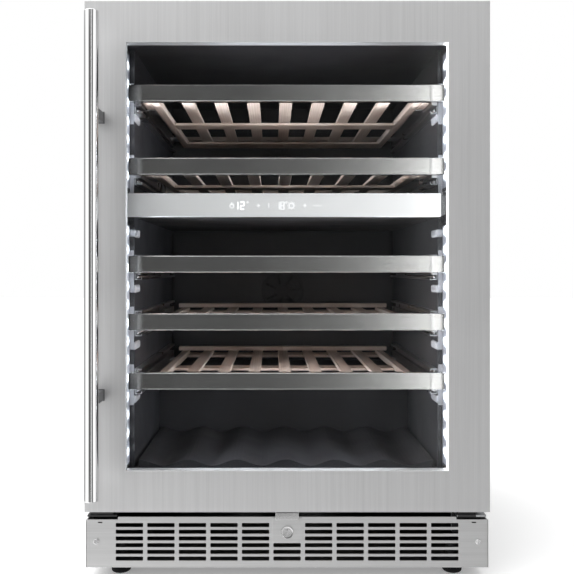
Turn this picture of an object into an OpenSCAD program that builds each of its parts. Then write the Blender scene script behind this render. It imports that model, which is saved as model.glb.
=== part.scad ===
// Two-zone undercounter wine cooler with a framed glass door.
// Millimetres. X runs to the right, Y to the rear, Z up. The origin is on the floor, under the middle.

/* [Overall] */
// Width across the door
width = 605; // [598:1:615]
// Depth from the handle to the cable gland
depth = 664; // [660:1:680]
// Height from the floor to the top hinge screws
height = 874; // [868:1:884]

/* [Door] */
// Thickness from the steel face to the rear of the inner frame
door_t = 45; // [43:1:48]
// Width of the steel border round the glass
door_border = 62; // [56:1:66]
// Gap under the door, down to the plinth
door_gap = 9.4; // [8:0.2:12]

/* [Handle] */
// Radius of the handle bar
bar_r = 10; // [8:0.5:12]
// Distance of the bar's axis from the door
bar_standoff = 58; // [50:1:66]
// Length of the bar
bar_len = 693; // [560:1:720]
// Distance between the two posts
post_pitch = 413; // [300:1:460]
// Distance of the bar's axis from the door's free edge
bar_inset = 24.8; // [20:0.2:32]

/* [Plinth] */
// Clear height under the plinth
foot_clearance = 20.5; // [18:0.5:24]
// Height of the plinth grille
plinth_h = 76.1; // [72:0.1:78]
// Columns of slots in the grille
slot_columns = 11; // [9:2:11]
// Rows of slots in the grille
slot_rows = 6; // [4:1:6]

/* [Shelves] */
// Height of each shelf's lower face above the floor, top shelf first
shelf_z = [733.2, 617.4, 462.6, 371.2, 277.6];
// Height of the steel shelf front
trim_h = 27; // [22:1:30]
// Depth of a shelf from its steel front to its rear edge
shelf_depth = 467; // [430:1:467]
// Number of slats between the side rails
slat_count = 7; // [5:1:9]
// Width of one slat
slat_w = 21; // [16:0.5:24]

/* [Hidden] */
$fn = 48;

// Colours
steel = [0.74, 0.74, 0.75];
black_paint = [0.06, 0.06, 0.07];
black_plastic = [0.05, 0.05, 0.055];
zinc = [0.66, 0.67, 0.68];
beech = [0.80, 0.66, 0.50];
copper = [0.72, 0.42, 0.28];

// Planes of the cabinet and the door, front to rear
front_y = -depth / 2;                                // outermost line of the handle
door_y = front_y + bar_standoff + bar_r;             // steel face of the door
door_rear_y = door_y + door_t;
seal_gap = 6;
cab_y = door_rear_y + seal_gap;                      // front of the cabinet
gland_out = 6;
back_y = depth / 2 - gland_out;                      // outer face of the back panel
plinth_y = door_y + 8;
plinth_z = foot_clearance;
plinth_top = plinth_z + plinth_h;
door_z = plinth_top + door_gap;
screw_head_h = 2;
hinge_t = 3;
cab_top = height - screw_head_h - hinge_t;
door_top = cab_top - 0.5;
door_mid_z = (door_z + door_top) / 2;
door_hw = width / 2;
cab_hw = door_hw - 1;
sheet = 1.2;                                         // sheet steel of the case
cab_z = plinth_z + 1.5;                              // lower edge of the case

// Cavity of the liner
liner_t = 2.5;
flange = 14;
mouth_hw = 256;                                      // half width of the mouth, for the lamps
cavity_hw = 246;                                     // half width behind the mouth
mouth_depth = 48;
cavity_top = cab_top - 45;
cavity_z = door_z + 39;
cavity_rear = back_y - 41;
hump_y = back_y - 232;                               // front of the step over the compressor
hump_z = cavity_z + 120;                             // top of that step
foam_z = cavity_z - 45;
hump_foam = 29;
machine_top = hump_z - hump_foam;
machine_y = hump_y + 28;

// Divider between the two zones
fascia_z = 550;
fascia_h = 36.5;
divider_z = fascia_z + 2;
divider_h = fascia_h - 4;

// Door parts
skin_t = 1.5;
skin_return = 30;
pane_t = [5, 4];
pane_gap = 16.5;
glass_lap = 21;                                      // how far the panes reach behind the border
glass_hw = door_hw - door_border + glass_lap;
glass_z0 = door_z + door_border - glass_lap;
glass_z1 = door_top - door_border + glass_lap;
outer_pane_y = door_y + skin_t;
spacer_y = outer_pane_y + pane_t[0];
inner_pane_y = spacer_y + pane_gap;
inner_frame_y = inner_pane_y + pane_t[1];

// Hinge line, on the right
pin_r = 4;
bush_bore_r = 4.05;
bush_r = 7;
bush_h = 15;
hinge_x = door_hw - 9;
hinge_y = door_y + 31;
hinge_x0 = 256;
hinge_plate_z = plinth_top - 1.6;

// Shelves
trim_y = door_y + 66;
trim_hw = 249.5;
trim_t = 1.5;
trim_depth = 12;
rail_in = 204;
rail_out = 218;
ear_hw = 232;
ear_depth = 68;
wood_z0 = 1.5;                                       // heights above a shelf's lower face
slat_z0 = 6.5;
wood_z1 = 13;
runner_len = 400;

// Rear air ducts and fans
duct_depth = 12;
duct_y = cavity_rear - duct_depth;
duct_hw = 238;
fan_r = 42;
upper_duct = [divider_z + divider_h + 8, cavity_top - 8];
lower_duct = [hump_z + 8, divider_z - 8];
fan_z = [712, 420];

// Plinth slots
slot_w = 41;
slot_h = 6;
slot_pitch_x = 47.34;
slot_pitch_z = 10.06;
slot_top_z = plinth_z + 63.7;
lock_z = slot_top_z - slot_pitch_z;
lock_r = 8;
corner_notch = [48, 4];

// Feet
foot_x = 257;
foot_y = [door_y + 49, back_y - 40];
foot_r = 15;
stem_r = 5;
nut_bore_r = 5.05;

// Machine compartment
pump = [150, (machine_y + back_y) / 2 + 2];          // compressor's axis
pump_r = 66;
coil_x = [-250, -70];
cond_fan = [-38, (machine_y + back_y) / 2, 100];     // centre of the condenser fan
gland = [225, back_y, 62];
gland_bore_r = 4.5;

// ---------------------------------------------------------------- helpers

module block(lo, hi) {
    translate(lo) cube(hi - lo);
}

module both_sides() {
    children();
    mirror([1, 0, 0]) children();
}

// A rectangular ring in the XZ plane, with a border on each side
module ring(hw, z0, z1, border, y0, y1) {
    difference() {
        block([-hw, y0, z0], [hw, y1, z1]);
        block([-hw + border, y0 - 1, z0 + border], [hw - border, y1 + 1, z1 - border]);
    }
}

// A cylinder along Y from y0 to y1
module rod_y(x, z, r, y0, y1) {
    translate([x, y0, z]) rotate([-90, 0, 0]) cylinder(h = y1 - y0, r = r);
}

// A cylinder along X from x0 to x1
module rod_x(y, z, r, x0, x1) {
    translate([x0, y, z]) rotate([0, 90, 0]) cylinder(h = x1 - x0, r = r);
}

// A round pipe through a list of points, with a brazed bead at each turn
module pipe(points, r) {
    for (i = [0:len(points) - 2]) {
        step = points[i + 1] - points[i];
        len_xy = norm([step[0], step[1]]);
        translate(points[i])
            rotate([0, atan2(len_xy, step[2]), atan2(step[1], step[0])])
                cylinder(h = norm(step), r = r, $fn = 24);
        if (i < len(points) - 2) translate(points[i + 1]) sphere(r = r + 0.8, $fn = 24);
    }
}

// A pan-head screw with its head on the plane at the origin, head towards +Z
module screw(head_r, length) {
    cylinder(h = screw_head_h, r = head_r, $fn = 24);
    translate([0, 0, -length]) cylinder(h = length, r = head_r / 2, $fn = 24);
}

// ---------------------------------------------------------------- case

module cabinet_shell() {
    color(black_paint) {
        difference() {
            block([-cab_hw, cab_y, cab_z], [cab_hw, back_y, cab_top]);
            block([-cab_hw + sheet, cab_y - 1, cab_z - 1], [cab_hw - sheet, back_y + 1, cab_top - sheet]);
        }
        difference() {
            block([-cab_hw, cab_y, plinth_top + 1.5], [cab_hw, cab_y + liner_t, cab_top]);
            block([-mouth_hw - flange, cab_y - 1, cavity_z - flange],
                  [mouth_hw + flange, cab_y + liner_t + 1, cavity_top + flange]);
        }
    }
}

module back_panel() {
    color(zinc)
        difference() {
            block([-cab_hw + sheet, back_y - sheet, machine_top], [cab_hw - sheet, back_y, cab_top - sheet]);
            for (x = [-200, 200], z = [machine_top + 40, cab_top - 50])
                rod_y(x, z, 2.5, back_y - sheet - 1, back_y + 1);
        }
}

module base_pan() {
    color(zinc)
        difference() {
            union() {
                block([-cab_hw + sheet, plinth_y + 4, cab_z], [cab_hw - sheet, back_y - sheet, cab_z + sheet]);
                both_sides()
                    block([cab_hw - 2 * sheet, cab_y, cab_z], [cab_hw - sheet, back_y - sheet, cab_z + 30]);
                for (x = [-foot_x, foot_x], y = foot_y)
                    translate([x, y, cab_z]) cylinder(h = 22, r = 9);
            }
            for (x = [-foot_x, foot_x], y = foot_y)
                translate([x, y, cab_z - 1]) cylinder(h = 24, r = nut_bore_r);
        }
}

// The hollow of the liner, grown by g on every side that isn't the mouth
module cavity(g) {
    block([-mouth_hw - g, cab_y - 1 + g, cavity_z - g], [mouth_hw + g, cab_y + mouth_depth + g, cavity_top + g]);
    block([-cavity_hw - g, cab_y, cavity_z - g], [cavity_hw + g, hump_y + g, cavity_top + g]);
    block([-cavity_hw - g, cab_y, hump_z - g], [cavity_hw + g, cavity_rear + g, cavity_top + g]);
}

module liner_outside() {
    intersection() {
        cavity(liner_t);
        block([-400, cab_y, 0], [400, 400, 1000]);
    }
}

module inner_liner() {
    color(black_plastic)
        difference() {
            union() {
                liner_outside();
                block([-mouth_hw - flange, cab_y, cavity_z - flange],
                      [mouth_hw + flange, cab_y + liner_t, cavity_top + flange]);
            }
            cavity(0);
        }
}

module insulation_foam() {
    color([0.86, 0.80, 0.62]) {
        divider_body(liner_t);
        difference() {
            block([-cab_hw + sheet, cab_y + liner_t, foam_z], [cab_hw - sheet, back_y - sheet, cab_top - sheet]);
            liner_outside();
            block([-400, machine_y, 0], [400, 400, machine_top]);
        }
    }
}

module divider_body(g) {
    block([-cavity_hw + g, cab_y + mouth_depth, divider_z + g], [cavity_hw - g, cavity_rear, divider_z + divider_h - g]);
    block([-cavity_hw + g, cab_y + 3 + g, divider_z + g],
          [cavity_hw - 6 - g, cab_y + mouth_depth + 1, divider_z + divider_h - g]);
}

module zone_divider() {
    color(black_plastic)
        difference() {
            divider_body(0);
            divider_body(liner_t);
        }
}

// Folded steel strip that carries the touch controls and the readouts
module control_fascia() {
    x0 = -251;
    x1 = 241;
    y0 = cab_y + 1;
    color(steel)
        difference() {
            block([x0, y0, fascia_z], [x1, y0 + 8, fascia_z + fascia_h]);
            block([x0 - 1, y0 + 2, fascia_z + 2], [x1 + 1, y0 + 9, fascia_z + fascia_h - 2]);
        }
}

lamp_spans = [[cavity_z + 6, fascia_z - 6], [fascia_z + fascia_h + 6, cavity_top - 6]];
lamp_y = cab_y + 18;
lamp_depth = 28;

module led_boards() {
    color([0.9, 0.9, 0.88])
        both_sides()
            for (span = lamp_spans)
                block([mouth_hw - 0.8, lamp_y, span[0]], [mouth_hw, lamp_y + lamp_depth, span[1]]);
}

module led_lenses() {
    color([0.95, 0.97, 1.0, 0.6])
        both_sides()
            for (span = lamp_spans)
                block([mouth_hw - 2.2, lamp_y, span[0]], [mouth_hw - 1, lamp_y + lamp_depth, span[1]]);
}

// Shallow tray over the rear wall, with a round fan opening and a row of air slots
module air_duct(span, z_fan) {
    color(black_plastic)
        difference() {
            block([-duct_hw, duct_y, span[0]], [duct_hw, cavity_rear, span[1]]);
            block([-duct_hw + 2, duct_y + 2, span[0] + 2], [duct_hw - 2, cavity_rear + 1, span[1] - 2]);
            rod_y(0, z_fan, fan_r + 2, duct_y - 1, duct_y + 3);
            for (i = [-9:9])
                if (abs(i) > 3)
                    block([i * 22 - 7, duct_y - 1, span[1] - 22], [i * 22 + 7, duct_y + 3, span[1] - 18]);
        }
}

module evaporators() {
    color([0.78, 0.79, 0.80])
        for (span = [upper_duct, lower_duct], x = [-220, 60])
            block([x, cavity_rear - 4, span[0] + 10], [x + 160, cavity_rear - 1.5, span[1] - 26]);
}

// Axial fan wheel about Y: a hub and flat raked blades
module fan_wheel(r, hub_r, thick, blades) {
    rod_y(0, 0, hub_r, 0, thick);
    for (i = [0:blades - 1])
        rotate([0, i * 360 / blades, 0])
            translate([hub_r - 2, thick / 2, 0])
                rotate([32, 0, 0])
                    cube([r - hub_r, 1.4, r * 0.42], center = false);
}

module evaporator_fan(z) {
    color([0.12, 0.12, 0.13])
        intersection() {
            translate([0, duct_y + 2.2, z]) fan_wheel(fan_r - 1, 15, 5.5, 7);
            rod_y(0, z, fan_r - 1, duct_y + 2.2, duct_y + 7.7);
        }
}

module bottle_cradle() {
    waves = 6;
    pitch = 2 * (cavity_hw - 6) / waves;
    swing = 5;
    steps = 12 * waves;
    top = [for (i = [0:steps])
        let (x = -cavity_hw + 6 + i * pitch * waves / steps)
            [x, 8 + swing * cos(360 * (x + cavity_hw - 6) / pitch)]];
    low = [for (i = [steps:-1:0]) [top[i][0], 0.5]];
    color([0.07, 0.07, 0.08])
        translate([0, hump_y - 3, cavity_z])
            rotate([90, 0, 0])
                linear_extrude(height = hump_y - 3 - (cab_y + mouth_depth + 4))
                    polygon(concat(top, low));
}

// ---------------------------------------------------------------- shelves

module shelf_place(i) {
    translate([0, trim_y, shelf_z[i]]) children();
}

module shelf_wood() {
    slat_gap = (2 * rail_in - slat_count * slat_w) / (slat_count + 1);
    color(beech) {
        // front rail, inside the steel trim
        block([-ear_hw, trim_t, trim_t], [ear_hw, trim_depth, trim_h - trim_t]);
        both_sides() {
            block([rail_in, trim_depth, wood_z0], [ear_hw, ear_depth, wood_z1]);
            block([rail_in, ear_depth, wood_z0], [rail_out, shelf_depth, wood_z1]);
        }
        for (y = [[206, 246], [shelf_depth - 56, shelf_depth]])
            block([-rail_in, y[0], wood_z0], [rail_in, y[1], slat_z0]);
        for (i = [0:slat_count - 1]) {
            x = -rail_in + slat_gap + i * (slat_w + slat_gap);
            block([x, trim_depth, slat_z0], [x + slat_w, shelf_depth, wood_z1]);
        }
        // bottle stop at the rear
        block([-226, shelf_depth - 27, wood_z1], [226, shelf_depth - 13, wood_z1 + 9]);
    }
}

module shelf_trim() {
    color(steel)
        difference() {
            block([-trim_hw, 0, 0], [trim_hw, trim_depth, trim_h]);
            block([-trim_hw - 1, trim_t, trim_t], [trim_hw + 1, trim_depth + 1, trim_h - trim_t]);
        }
}

// Inner slide members with the two brackets that carry each side rail
module shelf_runners() {
    color(zinc)
        both_sides() {
            difference() {
                block([233, 14, -3], [241, 14 + runner_len, 17]);
                block([235, 13, -1], [242, 15 + runner_len, 15]);
            }
            for (y = [84, 350])
                block([rail_out, y, 3], [233, y + 36, 5]);
        }
}

// Fixed slide members, one pair for each shelf
module outer_runners() {
    color(zinc)
        for (i = [0:len(shelf_z) - 1])
            shelf_place(i)
                both_sides()
                    difference() {
                        block([234, 34, -12], [cavity_hw, 34 + runner_len, 29]);
                        block([233, 33, -10], [cavity_hw - 2, 35 + runner_len, 27]);
                        block([233, 33, -7], [236, 35 + runner_len, 24]);
                    }
}

// ---------------------------------------------------------------- door

module bushing_holes(r) {
    translate([hinge_x, hinge_y, door_z - 1]) cylinder(h = bush_h + 1, r = r);
    translate([hinge_x, hinge_y, door_top - bush_h]) cylinder(h = bush_h + 1, r = r);
}

module door_skin() {
    color(steel)
        difference() {
            union() {
                ring(door_hw, door_z, door_top, door_border, door_y, door_y + skin_t);
                ring(door_hw, door_z, door_top, skin_t, door_y, door_y + skin_return);
            }
            bushing_holes(bush_r);
        }
}

module door_inner_frame() {
    inner_border = door_border - 14 - skin_t;
    color(black_plastic)
        difference() {
            union() {
                ring(door_hw - skin_t, door_z + skin_t, door_top - skin_t, door_border - glass_lap - skin_t,
                     door_y + skin_t, inner_frame_y);
                ring(door_hw - skin_t, door_z + skin_t, door_top - skin_t, inner_border,
                     inner_frame_y, door_rear_y);
            }
            bushing_holes(bush_r);
        }
}

module pane(y, t, inset) {
    block([-glass_hw + inset, y, glass_z0 + inset], [glass_hw - inset, y + t, glass_z1 - inset]);
}

module outer_glass() {
    color([0.35, 0.38, 0.40, 0.35]) pane(outer_pane_y, pane_t[0], 0);
}

module inner_glass() {
    color([0.35, 0.38, 0.40, 0.35]) pane(inner_pane_y, pane_t[1], 0);
}

module glass_spacer() {
    color([0.10, 0.10, 0.10])
        ring(glass_hw - 3, glass_z0 + 3, glass_z1 - 3, glass_lap - 5, spacer_y, inner_pane_y);
}

// Magnetic seal: a foot on the door and a soft face on the cabinet
module door_gasket() {
    gasket_hw = door_hw - 20.5;
    color([0.12, 0.12, 0.13]) {
        ring(gasket_hw - 4, door_z + 24.5, door_top - 24.5, 12, door_rear_y, door_rear_y + 2.5);
        ring(gasket_hw, door_z + 20.5, door_top - 20.5, 20, door_rear_y + 2.5, cab_y - 0.3);
    }
}

bar_x = -door_hw + bar_inset;
bar_y = door_y - bar_standoff;

module handle_bar() {
    color(steel)
        translate([bar_x, bar_y, door_mid_z - bar_len / 2])
            rotate_extrude(convexity = 2)
                polygon([[0, 0], [bar_r - 1.5, 0], [bar_r, 1.5], [bar_r, bar_len - 1.5],
                         [bar_r - 1.5, bar_len], [0, bar_len]]);
}

module handle_posts() {
    color(steel)
        for (z = [door_mid_z - post_pitch / 2, door_mid_z + post_pitch / 2])
            difference() {
                block([bar_x - 4.6, bar_y, z - 7.7], [bar_x + 4.6, door_y, z + 7.7]);
                translate([bar_x, bar_y, z - 10]) cylinder(h = 20, r = bar_r);
            }
}

module door_bushings() {
    color([0.85, 0.85, 0.82])
        for (z = [door_z, door_top - bush_h])
            translate([hinge_x, hinge_y, z])
                difference() {
                    cylinder(h = bush_h, r = bush_r);
                    translate([0, 0, -1]) cylinder(h = bush_h + 2, r = bush_bore_r);
                }
}

strike_hw = 17.5;
strike_rear = hinge_y + 11;

// Inverted channel under the door, which the lock's cam hooks into
module lock_strike() {
    color(steel) {
        block([-strike_hw, door_y + 2, door_z - 2], [strike_hw, strike_rear, door_z]);
        block([-strike_hw, door_y + 2, door_z - 12.5], [strike_hw, door_y + 3.5, door_z - 2]);
        block([-strike_hw, strike_rear - 1.5, plinth_top + 1.9], [strike_hw, strike_rear, door_z - 2]);
    }
}

// ---------------------------------------------------------------- hinges

module top_hinge() {
    color(black_paint) {
        difference() {
            block([hinge_x0, hinge_y - 14, cab_top], [cab_hw - 1, cab_y + 62, cab_top + hinge_t]);
            for (s = top_screws) translate([s[0], s[1], cab_top - 1]) cylinder(h = 6, r = 2.4);
        }
        translate([hinge_x, hinge_y, door_top - bush_h + 2]) cylinder(h = bush_h + 1.5, r = pin_r);
    }
}

top_screws = [[270, cab_y + 18], [288, cab_y + 34], [270, cab_y + 50]];
low_screws = [[268, plinth_z + 50], [290, plinth_z + 50]];

// Black foot plate under the door's free corner, the mirror of the hinge plate
module hinge_blank() {
    color(black_plastic)
        block([-cab_hw + 0.5, plinth_y + 4, hinge_plate_z], [-hinge_x0, cab_y, hinge_plate_z + hinge_t]);
}

module bottom_hinge() {
    color(zinc) {
        difference() {
            union() {
                block([hinge_x0, plinth_y + 4, hinge_plate_z], [cab_hw - 1.5, cab_y, hinge_plate_z + hinge_t]);
                block([hinge_x0, cab_y - 3, plinth_z + 40], [cab_hw - 1.5, cab_y, hinge_plate_z + hinge_t]);
            }
            for (s = low_screws) rod_y(s[0], s[1], 2.4, cab_y - 5, cab_y + 1);
        }
        translate([hinge_x, hinge_y, hinge_plate_z]) cylinder(h = door_z - 0.3 - hinge_plate_z, r = 7.5);
        translate([hinge_x, hinge_y, door_z - 1]) cylinder(h = bush_h - 2, r = pin_r);
    }
}

plinth_screws = [-door_hw + 16, door_hw - 16];

// Screws of the hinges, the plinth and the rear covers
module cabinet_screws() {
    color([0.8, 0.8, 0.8]) {
        for (s = top_screws) translate([s[0], s[1], cab_top + hinge_t]) screw(4.2, 2.9);
        for (s = low_screws) translate([s[0], cab_y - 3, s[1]]) rotate([90, 0, 0]) screw(4.2, 2.9);
        for (x = plinth_screws)
            translate([x, plinth_y, plinth_z + 39]) rotate([90, 0, 0]) screw(4.2, 6);
        for (x = [-200, 200], z = [machine_top + 40, cab_top - 50])
            translate([x, back_y, z]) rotate([-90, 0, 0]) screw(4.2, sheet - 0.1);
        for (x = [-270, 270], z = [cab_z + 12, machine_top - 14])
            translate([x, back_y, z]) rotate([-90, 0, 0]) screw(4.2, sheet - 0.1);
    }
}

// ---------------------------------------------------------------- plinth and lock

module plinth_grille() {
    middle = (slot_columns - 1) / 2;
    last_row = slot_rows - 1;
    color(steel)
        difference() {
            union() {
                block([-door_hw + 0.5, plinth_y, plinth_z], [door_hw - 0.5, plinth_y + 1.5, plinth_top]);
                // side returns, back to the case
                both_sides()
                    block([door_hw - 2, plinth_y, plinth_z], [door_hw - 0.5, cab_y - 0.2, plinth_top - 5]);
                block([-25, plinth_y - 1, lock_z - 17], [25, plinth_y, plinth_top - 1.5]);
            }
            both_sides()
                block([door_hw - corner_notch[0], plinth_y - 1, plinth_top - corner_notch[1]],
                      [door_hw + 1, plinth_y + 3, plinth_top + 1]);
            for (c = [0:slot_columns - 1], r = [0:last_row]) {
                x = (c - middle) * slot_pitch_x;
                z = slot_top_z - r * slot_pitch_z;
                high = (c == middle && r == 3) ? slot_h - 2 : slot_h;
                if (c != middle || r > 2)
                    block([x - slot_w / 2, plinth_y - 3, z - slot_h / 2],
                          [x + slot_w / 2, plinth_y + 3, z - slot_h / 2 + high]);
            }
            rod_y(0, lock_z, lock_r + 0.1, plinth_y - 3, plinth_y + 3);
            for (x = plinth_screws) rod_y(x, plinth_z + 39, 2.3, plinth_y - 1, plinth_y + 3);
        }
}

cam_y = hinge_y + 1;

module lock_housing() {
    color(zinc)
        difference() {
            union() {
                rod_y(0, lock_z, 11, plinth_y + 1.5, cam_y - 1);
                translate([0, plinth_y + 7, lock_z]) rotate([-90, 0, 0]) cylinder(h = 4, r = 15, $fn = 6);
            }
            rod_y(0, lock_z, lock_r + 0.08, plinth_y, cam_y + 1);
        }
}

// Key barrel with its cam, which points sideways when the door is free
module lock_cylinder() {
    color([0.85, 0.85, 0.86]) {
        difference() {
            union() {
                rod_y(0, lock_z, lock_r, plinth_y - 2, cam_y + 2.5);
                rod_y(0, lock_z, lock_r + 1.2, plinth_y - 4, plinth_y - 1.2);
            }
            block([-1, plinth_y - 5, lock_z - 4], [1, plinth_y + 6, lock_z + 4]);
        }
        block([-6, cam_y - 0.5, lock_z - 6], [28.5, cam_y + 2.5, lock_z + 6]);
    }
}

// ---------------------------------------------------------------- feet

// A screwed foot, drawn at its rest height
module foot(x, y) {
    color([0.05, 0.05, 0.05])
        translate([x, y, 0])
            rotate_extrude()
                polygon([[0, 0], [foot_r - 4, 0], [foot_r - 1, 3], [foot_r, 7], [foot_r, 12],
                         [stem_r, 12], [stem_r, 52], [0, 52]]);
}

// ---------------------------------------------------------------- machine compartment

module compressor() {
    color(black_paint)
        translate([pump[0], pump[1], 0]) {
            translate([0, 0, 44])
                rotate_extrude()
                    polygon([[0, 0], [pump_r - 14, 0], [pump_r - 3, 8], [pump_r, 20], [pump_r, 78],
                             [pump_r - 3, 80], [pump_r - 3, 100], [pump_r - 10, 122], [pump_r - 30, 136], [0, 140]]);
            difference() {
                block([-88, -62, 40], [88, 62, 44]);
                for (x = [-74, 74], y = [-48, 48]) translate([x, y, 39]) cylinder(h = 6, r = 6);
            }
            block([-pump_r - 14, -22, 80], [-pump_r + 5, 22, 124]);
        }
}

module compressor_mounts() {
    color([0.08, 0.08, 0.08])
        for (x = [-74, 74], y = [-48, 48])
            translate([pump[0] + x, pump[1] + y, cab_z + sheet]) {
                cylinder(h = 40 - cab_z - sheet, r = 11);
                cylinder(h = 48 - cab_z - sheet, r = 5.9);
            }
}

coil_rows = 9;
coil_pitch = 20;
coil_z = 42;
coil_layers = [machine_y + 34, machine_y + 92, machine_y + 150];

// Serpentine tubes through two end plates
module condenser_coil() {
    color([0.10, 0.10, 0.10]) {
        for (y = coil_layers) {
            for (i = [0:coil_rows - 1])
                rod_x(y, coil_z + i * coil_pitch, 3, coil_x[0], coil_x[1]);
            for (i = [0:coil_rows - 2])
                translate([coil_x[i % 2], y, coil_z + (i + 0.5) * coil_pitch])
                    rotate([90, 0, 0])
                        rotate([0, 0, i % 2 == 0 ? 90 : -90])
                            rotate_extrude(angle = 180)
                                translate([coil_pitch / 2, 0]) circle(r = 3, $fn = 24);
        }
        for (x = [coil_x[0] + 8, coil_x[1] - 10])
            block([x, coil_layers[0] - 12, cab_z + sheet], [x + 1.5, coil_layers[2] + 12, coil_z + 166]);
    }
}

module condenser_fan_frame() {
    half = 62;
    color([0.08, 0.08, 0.09])
        difference() {
            union() {
                block([cond_fan[0] - 12, cond_fan[1] - half, cond_fan[2] - half],
                      [cond_fan[0] + 12, cond_fan[1] + half, cond_fan[2] + half]);
                block([cond_fan[0] - 12, cond_fan[1] - half, cab_z + sheet],
                      [cond_fan[0] + 12, cond_fan[1] + half, cond_fan[2] - half]);
            }
            difference() {
                rod_x(cond_fan[1], cond_fan[2], 57, cond_fan[0] - 13, cond_fan[0] + 13);
                // motor and its four arms
                rod_x(cond_fan[1], cond_fan[2], 20, cond_fan[0] + 2, cond_fan[0] + 12);
                for (a = [0, 90])
                    translate([cond_fan[0] + 8, cond_fan[1], cond_fan[2]])
                        rotate([a + 45, 0, 0]) cube([4, 120, 5], center = true);
            }
        }
}

module condenser_fan() {
    color([0.15, 0.15, 0.16])
        translate([cond_fan[0] + 1, cond_fan[1], cond_fan[2]])
            rotate([0, 0, 90])
                intersection() {
                    fan_wheel(54, 19, 11, 7);
                    rod_y(0, 0, 54, 0, 11);
                }
}

module refrigerant_pipes() {
    y0 = coil_layers[0];
    top = coil_z + (coil_rows - 1) * coil_pitch;
    left = coil_x[0] - 12;
    color(copper) {
        // discharge, from the compressor over the fan to the coil
        pipe([[pump[0] - 20, pump[1] - 40, 176.5], [pump[0] - 20, pump[1] - 40, top + 12],
              [left, pump[1] - 40, top + 12], [left, y0, top + 12], [left, y0, top], [coil_x[0] - 0.5, y0, top]], 3);
        // suction, from the roof of the compartment down to the compressor
        pipe([[40, machine_y + 8, machine_top], [40, machine_y + 8, 226], [pump[0] + 10, machine_y + 8, 226],
              [pump[0] + 10, pump[1] - 30, 226], [pump[0] + 10, pump[1] - 30, 181.2]], 4);
    }
}

module rear_vent_cover() {
    z0 = cab_z + sheet;
    color(zinc)
        difference() {
            block([-cab_hw + sheet, back_y - sheet, z0], [cab_hw - sheet, back_y, machine_top]);
            for (side = [-1, 1], c = [0:3], r = [0:9]) {
                x = side * (60 + c * 38);
                z = z0 + 64 + r * 13;
                block([x - 15, back_y - sheet - 1, z], [x + 15, back_y + 1, z + 5]);
            }
            rod_y(gland[0], gland[2], 9, back_y - sheet - 1, back_y + 1);
            for (x = [-270, 270], z = [cab_z + 12, machine_top - 14])
                rod_y(x, z, 2.5, back_y - sheet - 1, back_y + 1);
        }
}

module cord_gland() {
    color([0.05, 0.05, 0.05])
        difference() {
            union() {
                rod_y(gland[0], gland[2], 8.9, back_y - 8, back_y + gland_out);
                rod_y(gland[0], gland[2], 12, back_y, back_y + 2.5);
                rod_y(gland[0], gland[2], 12, back_y - 8, back_y - sheet);
            }
            rod_y(gland[0], gland[2], gland_bore_r, back_y - 9, back_y + gland_out + 1);
        }
}

// ---------------------------------------------------------------- the model

cabinet_shell();
back_panel();
base_pan();
inner_liner();
insulation_foam();
zone_divider();
control_fascia();
led_boards();
led_lenses();
air_duct(upper_duct, fan_z[0]);  // upper_air_duct
air_duct(lower_duct, fan_z[1]);  // lower_air_duct
evaporators();
outer_runners();
top_hinge();
bottom_hinge();
hinge_blank();
cabinet_screws();
plinth_grille();
lock_housing();
compressor();
compressor_mounts();
condenser_coil();
condenser_fan_frame();
refrigerant_pipes();
rear_vent_cover();
cord_gland();
bottle_cradle();
door_skin();
door_inner_frame();
outer_glass();
inner_glass();
glass_spacer();
door_gasket();
handle_bar();
handle_posts();
door_bushings();
lock_strike();
lock_cylinder();
condenser_fan();
evaporator_fan(fan_z[0]);  // upper_fan
evaporator_fan(fan_z[1]);  // lower_fan
foot(-foot_x, foot_y[0]);  // foot_front_left
foot(foot_x, foot_y[0]);  // foot_front_right
foot(-foot_x, foot_y[1]);  // foot_rear_left
foot(foot_x, foot_y[1]);  // foot_rear_right
for (i = [0:len(shelf_z) - 1]) {
    shelf_place(i) shelf_wood();
    shelf_place(i) shelf_trim();
    shelf_place(i) shelf_runners();
}
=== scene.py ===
# Two-zone wine cooler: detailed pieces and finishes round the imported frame.
# Everything is in metres. The door faces -Y and the floor is at Z = 0.
import math

import bmesh
import bpy
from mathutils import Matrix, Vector


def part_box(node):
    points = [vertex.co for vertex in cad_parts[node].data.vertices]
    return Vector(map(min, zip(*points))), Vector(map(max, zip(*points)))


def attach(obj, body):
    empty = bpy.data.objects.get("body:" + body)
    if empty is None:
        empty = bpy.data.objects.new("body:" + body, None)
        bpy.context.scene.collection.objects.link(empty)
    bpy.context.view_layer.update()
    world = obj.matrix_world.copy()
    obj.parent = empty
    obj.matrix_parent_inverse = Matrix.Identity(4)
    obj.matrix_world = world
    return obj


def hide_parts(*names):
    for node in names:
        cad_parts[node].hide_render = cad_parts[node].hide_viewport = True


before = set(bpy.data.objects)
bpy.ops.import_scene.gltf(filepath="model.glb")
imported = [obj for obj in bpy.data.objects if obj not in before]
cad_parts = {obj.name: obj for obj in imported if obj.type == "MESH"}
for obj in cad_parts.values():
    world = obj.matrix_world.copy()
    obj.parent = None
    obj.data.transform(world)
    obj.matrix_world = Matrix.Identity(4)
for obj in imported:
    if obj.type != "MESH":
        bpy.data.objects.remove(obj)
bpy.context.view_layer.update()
print("frame loaded")


# ---- selecting and shaping

def leaveEdit():
    bpy.ops.object.mode_set(mode="OBJECT")


def deselectAll():
    if bpy.context.mode != "OBJECT":
        leaveEdit()
    bpy.ops.object.select_all(action="DESELECT")


def pick(*objs):
    deselectAll()
    for obj in objs:
        obj.select_set(True)
    bpy.context.view_layer.objects.active = objs[0]


def settle(obj, name):
    # the place goes into the mesh, and the object stays at the origin
    pick(obj)
    bpy.ops.object.transform_apply(location=True, rotation=True, scale=True)
    obj.name = name
    obj.data.name = name
    return obj


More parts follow.
